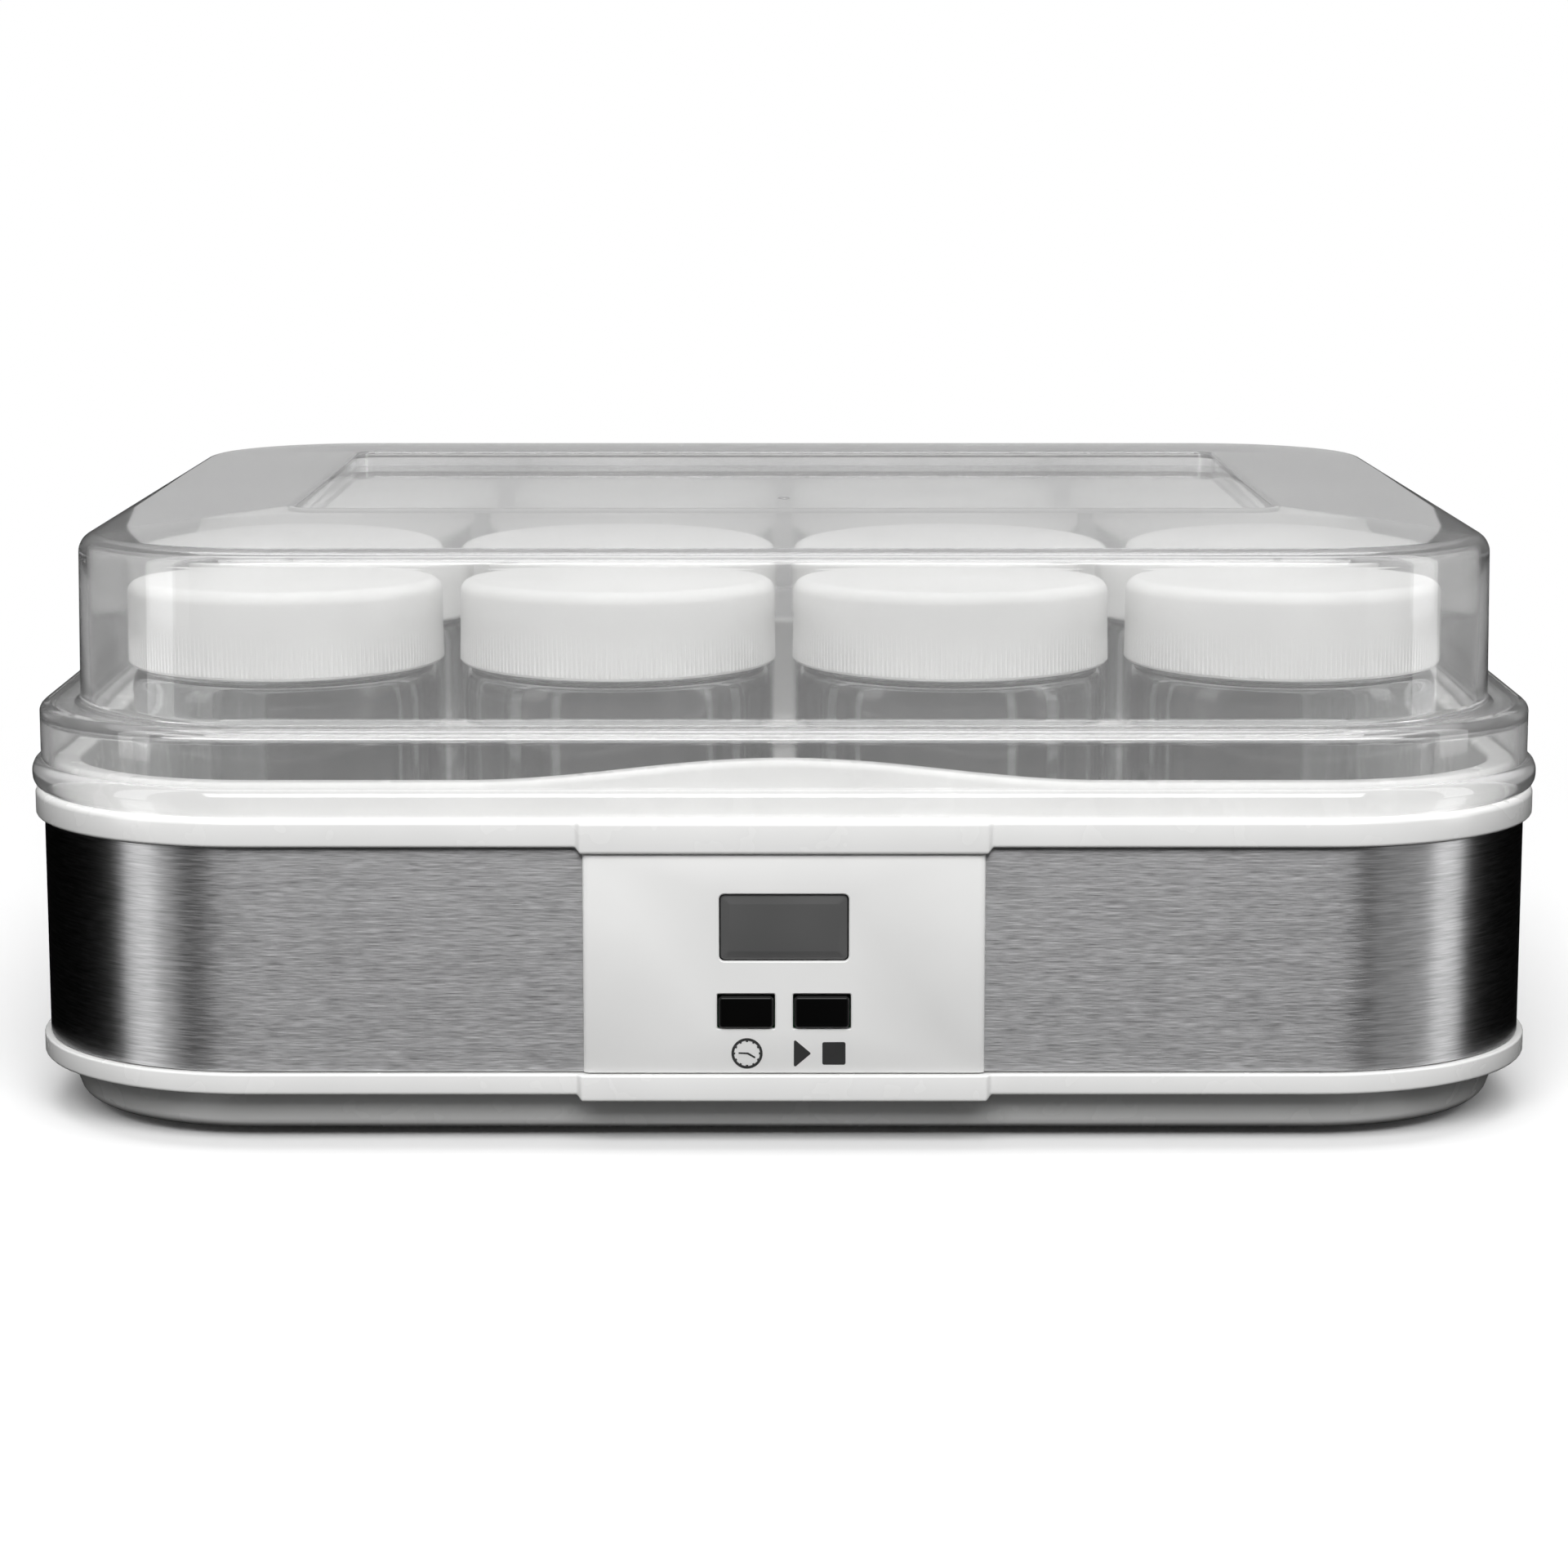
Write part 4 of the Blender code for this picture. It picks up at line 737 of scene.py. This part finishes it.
def make_marks():
    """Printed marks under the buttons: a clock for the timer, a triangle and a square for start and stop."""
    level = BAND_LOW.z + 4.6 * MM
    clock_x, clock_radius, line = -8.3 * MM, 3.5 * MM, 0.6 * MM
    front = PANEL_LOW.y - 0.02 * MM
    upright = Matrix.Rotation(math.radians(90), 4, "X")
    profile = [(clock_radius, 0.05 * MM), (clock_radius, -0.05 * MM),
               (clock_radius - line, -0.05 * MM), (clock_radius - line, 0.05 * MM)]
    rim = turned_mesh("clock_rim", profile, 48, closed=True)
    ticks = pattern_mesh(ring_pattern("clock ticks", PRINT_INK), Count=12, Circle=clock_radius - 0.85 * MM,
                         Foot=0.26 * MM, Tip=0.26 * MM, Length=0.8 * MM, Lift=0.0, Outwards=True)
    ticks.transform(Matrix.Diagonal((1, 1, 0.4, 1)))
    face = joined("clock", [rim, ticks])
    clock = settle("clock_mark", moved(face, (clock_x, front, level), upright), PRINT_INK)
    place(clock, "root")
    long_hand = [(clock_x - 1.9 * MM, level + 0.25 * MM), (clock_x - 1.9 * MM, level - 0.1 * MM),
                 (clock_x + 0.05 * MM, level - 0.2 * MM), (clock_x + 1.75 * MM, level - 1.15 * MM),
                 (clock_x + 1.9 * MM, level - 0.8 * MM), (clock_x + 0.25 * MM, level + 0.2 * MM)]
    place(settle("clock_hands", flat_mark("clock_hands", long_hand), PRINT_INK), "root")
    play_left, play_right, play_half = 2.2 * MM, 6.1 * MM, 3.35 * MM
    triangle = [(play_left, level + play_half), (play_left, level - play_half), (play_right, level)]
    play = flat_mark("start_mark", rounded_polygon(triangle, 0.3 * MM))
    place(settle("start_mark", play, PRINT_INK), "root")
    stop_left, stop_side = 8.6 * MM, 5.2 * MM
    half = stop_side / 2
    square = [(stop_left, level + half), (stop_left, level - half),
              (stop_left + stop_side, level - half), (stop_left + stop_side, level + half)]
    stop = flat_mark("stop_mark", rounded_polygon(square, 0.4 * MM))
    place(settle("stop_mark", stop, PRINT_INK), "root")


# ---- underside, back and inside --------------------------------------------------------------------
def make_feet_and_screws():
    for corner in CORNERS:
        low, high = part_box("foot_" + corner)
        radius, barb = (high.x - low.x) / 2, high.z
        stem, hook = 2.8 * MM, barb - 1.5 * MM
        profile = [(0, barb), (stem, barb), (4.2 * MM, hook), (stem, hook), (stem, 1.7 * MM)]
        profile += arc((radius - 0.5 * MM, 1.2 * MM), 0.5 * MM, 90, 0)
        profile += arc((radius - 0.5 * MM, 0.5 * MM), 0.5 * MM, 0, -90)
        profile += [(radius - 3 * MM, 0), (radius - 3.6 * MM, 0.5 * MM), (0, 0.5 * MM)]
        foot = moved(turned_mesh("foot", profile, 48), middle_of("foot_" + corner, 0))
        place(settle("rubber_foot_" + corner, foot, GREY_RUBBER), "root", "foot_" + corner)
        low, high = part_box("screw_" + corner)
        head, shank, seat = 3.2 * MM, 1.6 * MM, low.z + 1.8 * MM
        profile = [(0, high.z), (shank, high.z - shank), (shank, seat), (head, seat)]
        profile += arc((head - 0.8 * MM, low.z + 0.8 * MM), 0.8 * MM, 0, -90)
        profile += [(0, low.z)]
        arms = [box_mesh("arm", size, (0, 0, low.z)) for size in
                ((4 * MM, 0.8 * MM, 1.6 * MM), (0.8 * MM, 4 * MM, 1.6 * MM))]
        screw = moved(cut(turned_mesh("screw", profile, 40), arms), middle_of("screw_" + corner, 0))
        place(settle("cross_screw_" + corner, screw, ZINC_STEEL), "root", "screw_" + corner)


def make_inlet():
    """Bush for the cord in the back of the band, with a rounded collar."""
    low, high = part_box("cord_inlet")
    radius = (high.x - low.x) / 2
    length = high.y - low.y
    profile = arc((radius - 0.8 * MM, -0.8 * MM), 0.8 * MM, 90, 0)
    profile += [(radius, -1.5 * MM), (6 * MM, -1.5 * MM), (6 * MM, -length), (3.5 * MM, -length), (3.5 * MM, -0.8 * MM)]
    profile += arc((4.1 * MM, -0.6 * MM), 0.6 * MM, 180, 90, 4)
    bush = turned_mesh("bush", profile, 56, closed=True)
    turn = Matrix.Rotation(math.radians(-90), 4, "X")
    spot = ((low.x + high.x) / 2, high.y, (low.z + high.z) / 2)
    place(settle("cord_bush", moved(bush, spot, turn), DARK_NYLON), "root", "cord_inlet")


INSIDE = {
    "lcd_module": DARK_NYLON, "timer_switch": DARK_NYLON, "start_stop_switch": DARK_NYLON,
    "temperature_sensor": DARK_NYLON, "thermal_cutout": DARK_NYLON, "transformer": DARK_NYLON,
    "relay": DARK_NYLON, "terminal_block": DARK_NYLON, "capacitor": DARK_NYLON,
    "control_board": BOARD_GREEN, "power_board": BOARD_GREEN, "ribbon_cable": CABLE_GREY,
    "heater_plate": ALU_SHEET, "heater_wire": SLEEVE_RED, "heater_lead": SLEEVE_RED,
}


def finish_inside():
    """The frame's own solids inside the housing keep their shape and take a real finish."""
    for node, material in INSIDE.items():
        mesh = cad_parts[node].data
        mesh.materials.clear()
        mesh.materials.append(material)


# ---- studio -------------------------------------------------------------------------------------------
FLOOR_BOUNCE = "#303030"
SHADE_SEEN_THROUGH_CLEAR = "#aaaaaa"         # painted shade: flat grey glow that the floor shows only to rays through the clear pieces
CARD_DISTANCE, CARD_STEPS = 4, 12


def make_camera():
    data = bpy.data.cameras.new("camera")
    data.lens = 92.4
    data.sensor_width = 36.0
    camera = bpy.data.objects.new("camera", data)
    camera.location = (0, -1.034, 0.2328)
    camera.rotation_euler = (math.radians(80.37), 0, 0)
    bpy.context.scene.collection.objects.link(camera)
    bpy.context.scene.camera = camera


def maths(tree, operation, first, second):
    return add_node(tree, "ShaderNodeMath", {0: first, 1: second}, operation=operation).outputs[0]


def shows_background(tree):
    """1 for camera, mirror and see-through rays that haven't been scattered yet; they meet plain white."""
    path = add_node(tree, "ShaderNodeLightPath").outputs
    direct = maths(tree, "MAXIMUM", maths(tree, "MAXIMUM", path["Is Camera Ray"], path["Is Glossy Ray"]),
                   path["Is Transmission Ray"])
    return maths(tree, "MULTIPLY", direct, maths(tree, "LESS_THAN", path["Diffuse Depth"], 0.5))


def make_world(ambient):
    world = bpy.data.worlds.new("studio")
    world.use_nodes = True
    tree = world.node_tree
    tree.nodes.clear()
    level = add_node(tree, "ShaderNodeMapRange", {"Value": shows_background(tree), "To Min": ambient, "To Max": 1.0})
    light = add_node(tree, "ShaderNodeBackground", {"Color": (1, 1, 1, 1), "Strength": level.outputs[0]})
    add_node(tree, "ShaderNodeOutputWorld", {"Surface": light.outputs[0]})
    bpy.context.scene.world = world


def make_floor():
    """Floor that looks pale and keeps the shadow near the object, turns to plain white further out,
    and throws little light back up. To rays through the clear pieces it is painted shade: a flat grey glow that darkens
    what is seen through them."""
    made, tree, spot = new_material("studio floor, painted")
    distance = add_node(tree, "ShaderNodeVectorMath", {0: spot}, operation="LENGTH").outputs["Value"]
    far = add_node(tree, "ShaderNodeMapRange", {"Value": distance, "From Min": 0.17, "From Max": 0.55},
                   interpolation_type="SMOOTHSTEP").outputs[0]
    direct = shows_background(tree)
    paint = add_node(tree, "ShaderNodeBsdfDiffuse", {"Color": tint(tree, direct, FLOOR_BOUNCE, "#fafafa")})
    # painted shade: rays through the clear pieces meet the floor as a flat grey glow instead of white
    through = add_node(tree, "ShaderNodeLightPath").outputs["Is Transmission Ray"]
    white = add_node(tree, "ShaderNodeEmission", {"Color": tint(tree, through, "#ffffff", SHADE_SEEN_THROUGH_CLEAR)})
    mixed = add_node(tree, "ShaderNodeMixShader", {0: maths(tree, "MULTIPLY", far, direct),
                                                   1: paint.outputs[0], 2: white.outputs[0]})
    finish_surface(tree, mixed.outputs[0])
    bm = bmesh.new()
    bmesh.ops.create_grid(bm, x_segments=1, y_segments=1, size=30.0)
    floor = settle("studio_floor", mesh_from(bm, "studio_floor"), made)
    floor.visible_glossy = False


def add_lamp(name, spot, size, power):
    """A softbox aimed at the object."""
    data = bpy.data.lights.new(name, "AREA")
    data.shape = "RECTANGLE"
    data.size, data.size_y = size
    data.energy = power
    lamp = bpy.data.objects.new(name, data)
    lamp.location = spot
    lamp.rotation_euler = (Vector((0, 0, 0.08)) - Vector(spot)).to_track_quat("-Z", "Y").to_euler()
    lamp.visible_transmission = False   # its light passes clear pieces as their shadow rays
    bpy.context.scene.collection.objects.link(lamp)


def add_card(name, azimuths, elevations, strength):
    """A studio card 4 m away that only mirror reflections and see-through rays meet.
    Azimuths run from the front, positive to the right; all angles are in degrees."""
    made = bpy.data.materials.new(name)
    made.use_nodes = True
    tree = made.node_tree
    tree.nodes.clear()
    glow = add_node(tree, "ShaderNodeEmission", {"Color": (1, 1, 1, 1), "Strength": strength})
    finish_surface(tree, glow.outputs[0])
    bm = bmesh.new()
    rows = []
    for row in range(CARD_STEPS + 1):
        height = math.radians(elevations[0] + (elevations[1] - elevations[0]) * row / CARD_STEPS)
        reach = CARD_DISTANCE * math.cos(height)
        line = []
        for column in range(CARD_STEPS + 1):
            turn = math.radians(azimuths[0] + (azimuths[1] - azimuths[0]) * column / CARD_STEPS)
            line.append(bm.verts.new((reach * math.sin(turn), -reach * math.cos(turn),
                                      CARD_DISTANCE * math.sin(height))))
        rows.append(line)
    for near, far in zip(rows, rows[1:]):
        for index in range(CARD_STEPS):
            bm.faces.new((near[index], near[index + 1], far[index + 1], far[index]))
    card = settle(name, mesh_from(bm, name), made)
    card.visible_camera = card.visible_diffuse = card.visible_shadow = False


def make_studio():
    make_world(0.42)
    make_floor()
    add_lamp("top_softbox", (0, 0.0, 1.6), (1.6, 0.6), 9.5)
    add_lamp("key_softbox", (0, -1.5, 1.25), (1.8, 0.9), 34)
    add_card("front_low_card", (-44, 36), (-80, 4), 0.05)
    add_card("front_high_card", (-44, 36), (4, 60), 0.08)
    add_card("left_gap_card", (-54, -44), (-80, 60), 0.45)
    add_card("left_softbox_card", (-72, -54), (-4, 60), 2.7)
    add_card("left_low_card", (-72, -54), (-80, -4), 0.5)
    add_card("left_black_card", (-168, -72), (-80, 60), 0.0)
    add_card("right_gap_card", (36, 66), (-80, 60), 0.36)
    add_card("right_softbox_card", (66, 84), (-4, 60), 2.9)
    add_card("right_low_card", (66, 84), (-80, -4), 0.5)
    add_card("right_black_card", (84, 168), (-80, 60), 0.0)
    add_card("back_black_card", (168, 192), (-80, 2), 0.0)
    add_card("back_grey_card", (168, 192), (2, 60), 0.52)


make_camera()
make_lid()
make_tub()
make_band()
make_tray()
make_jars()
make_panel()
make_window()
make_buttons()
make_marks()
make_feet_and_screws()
make_inlet()
finish_inside()
make_studio()

bpy.context.scene.view_settings.view_transform = "Standard"
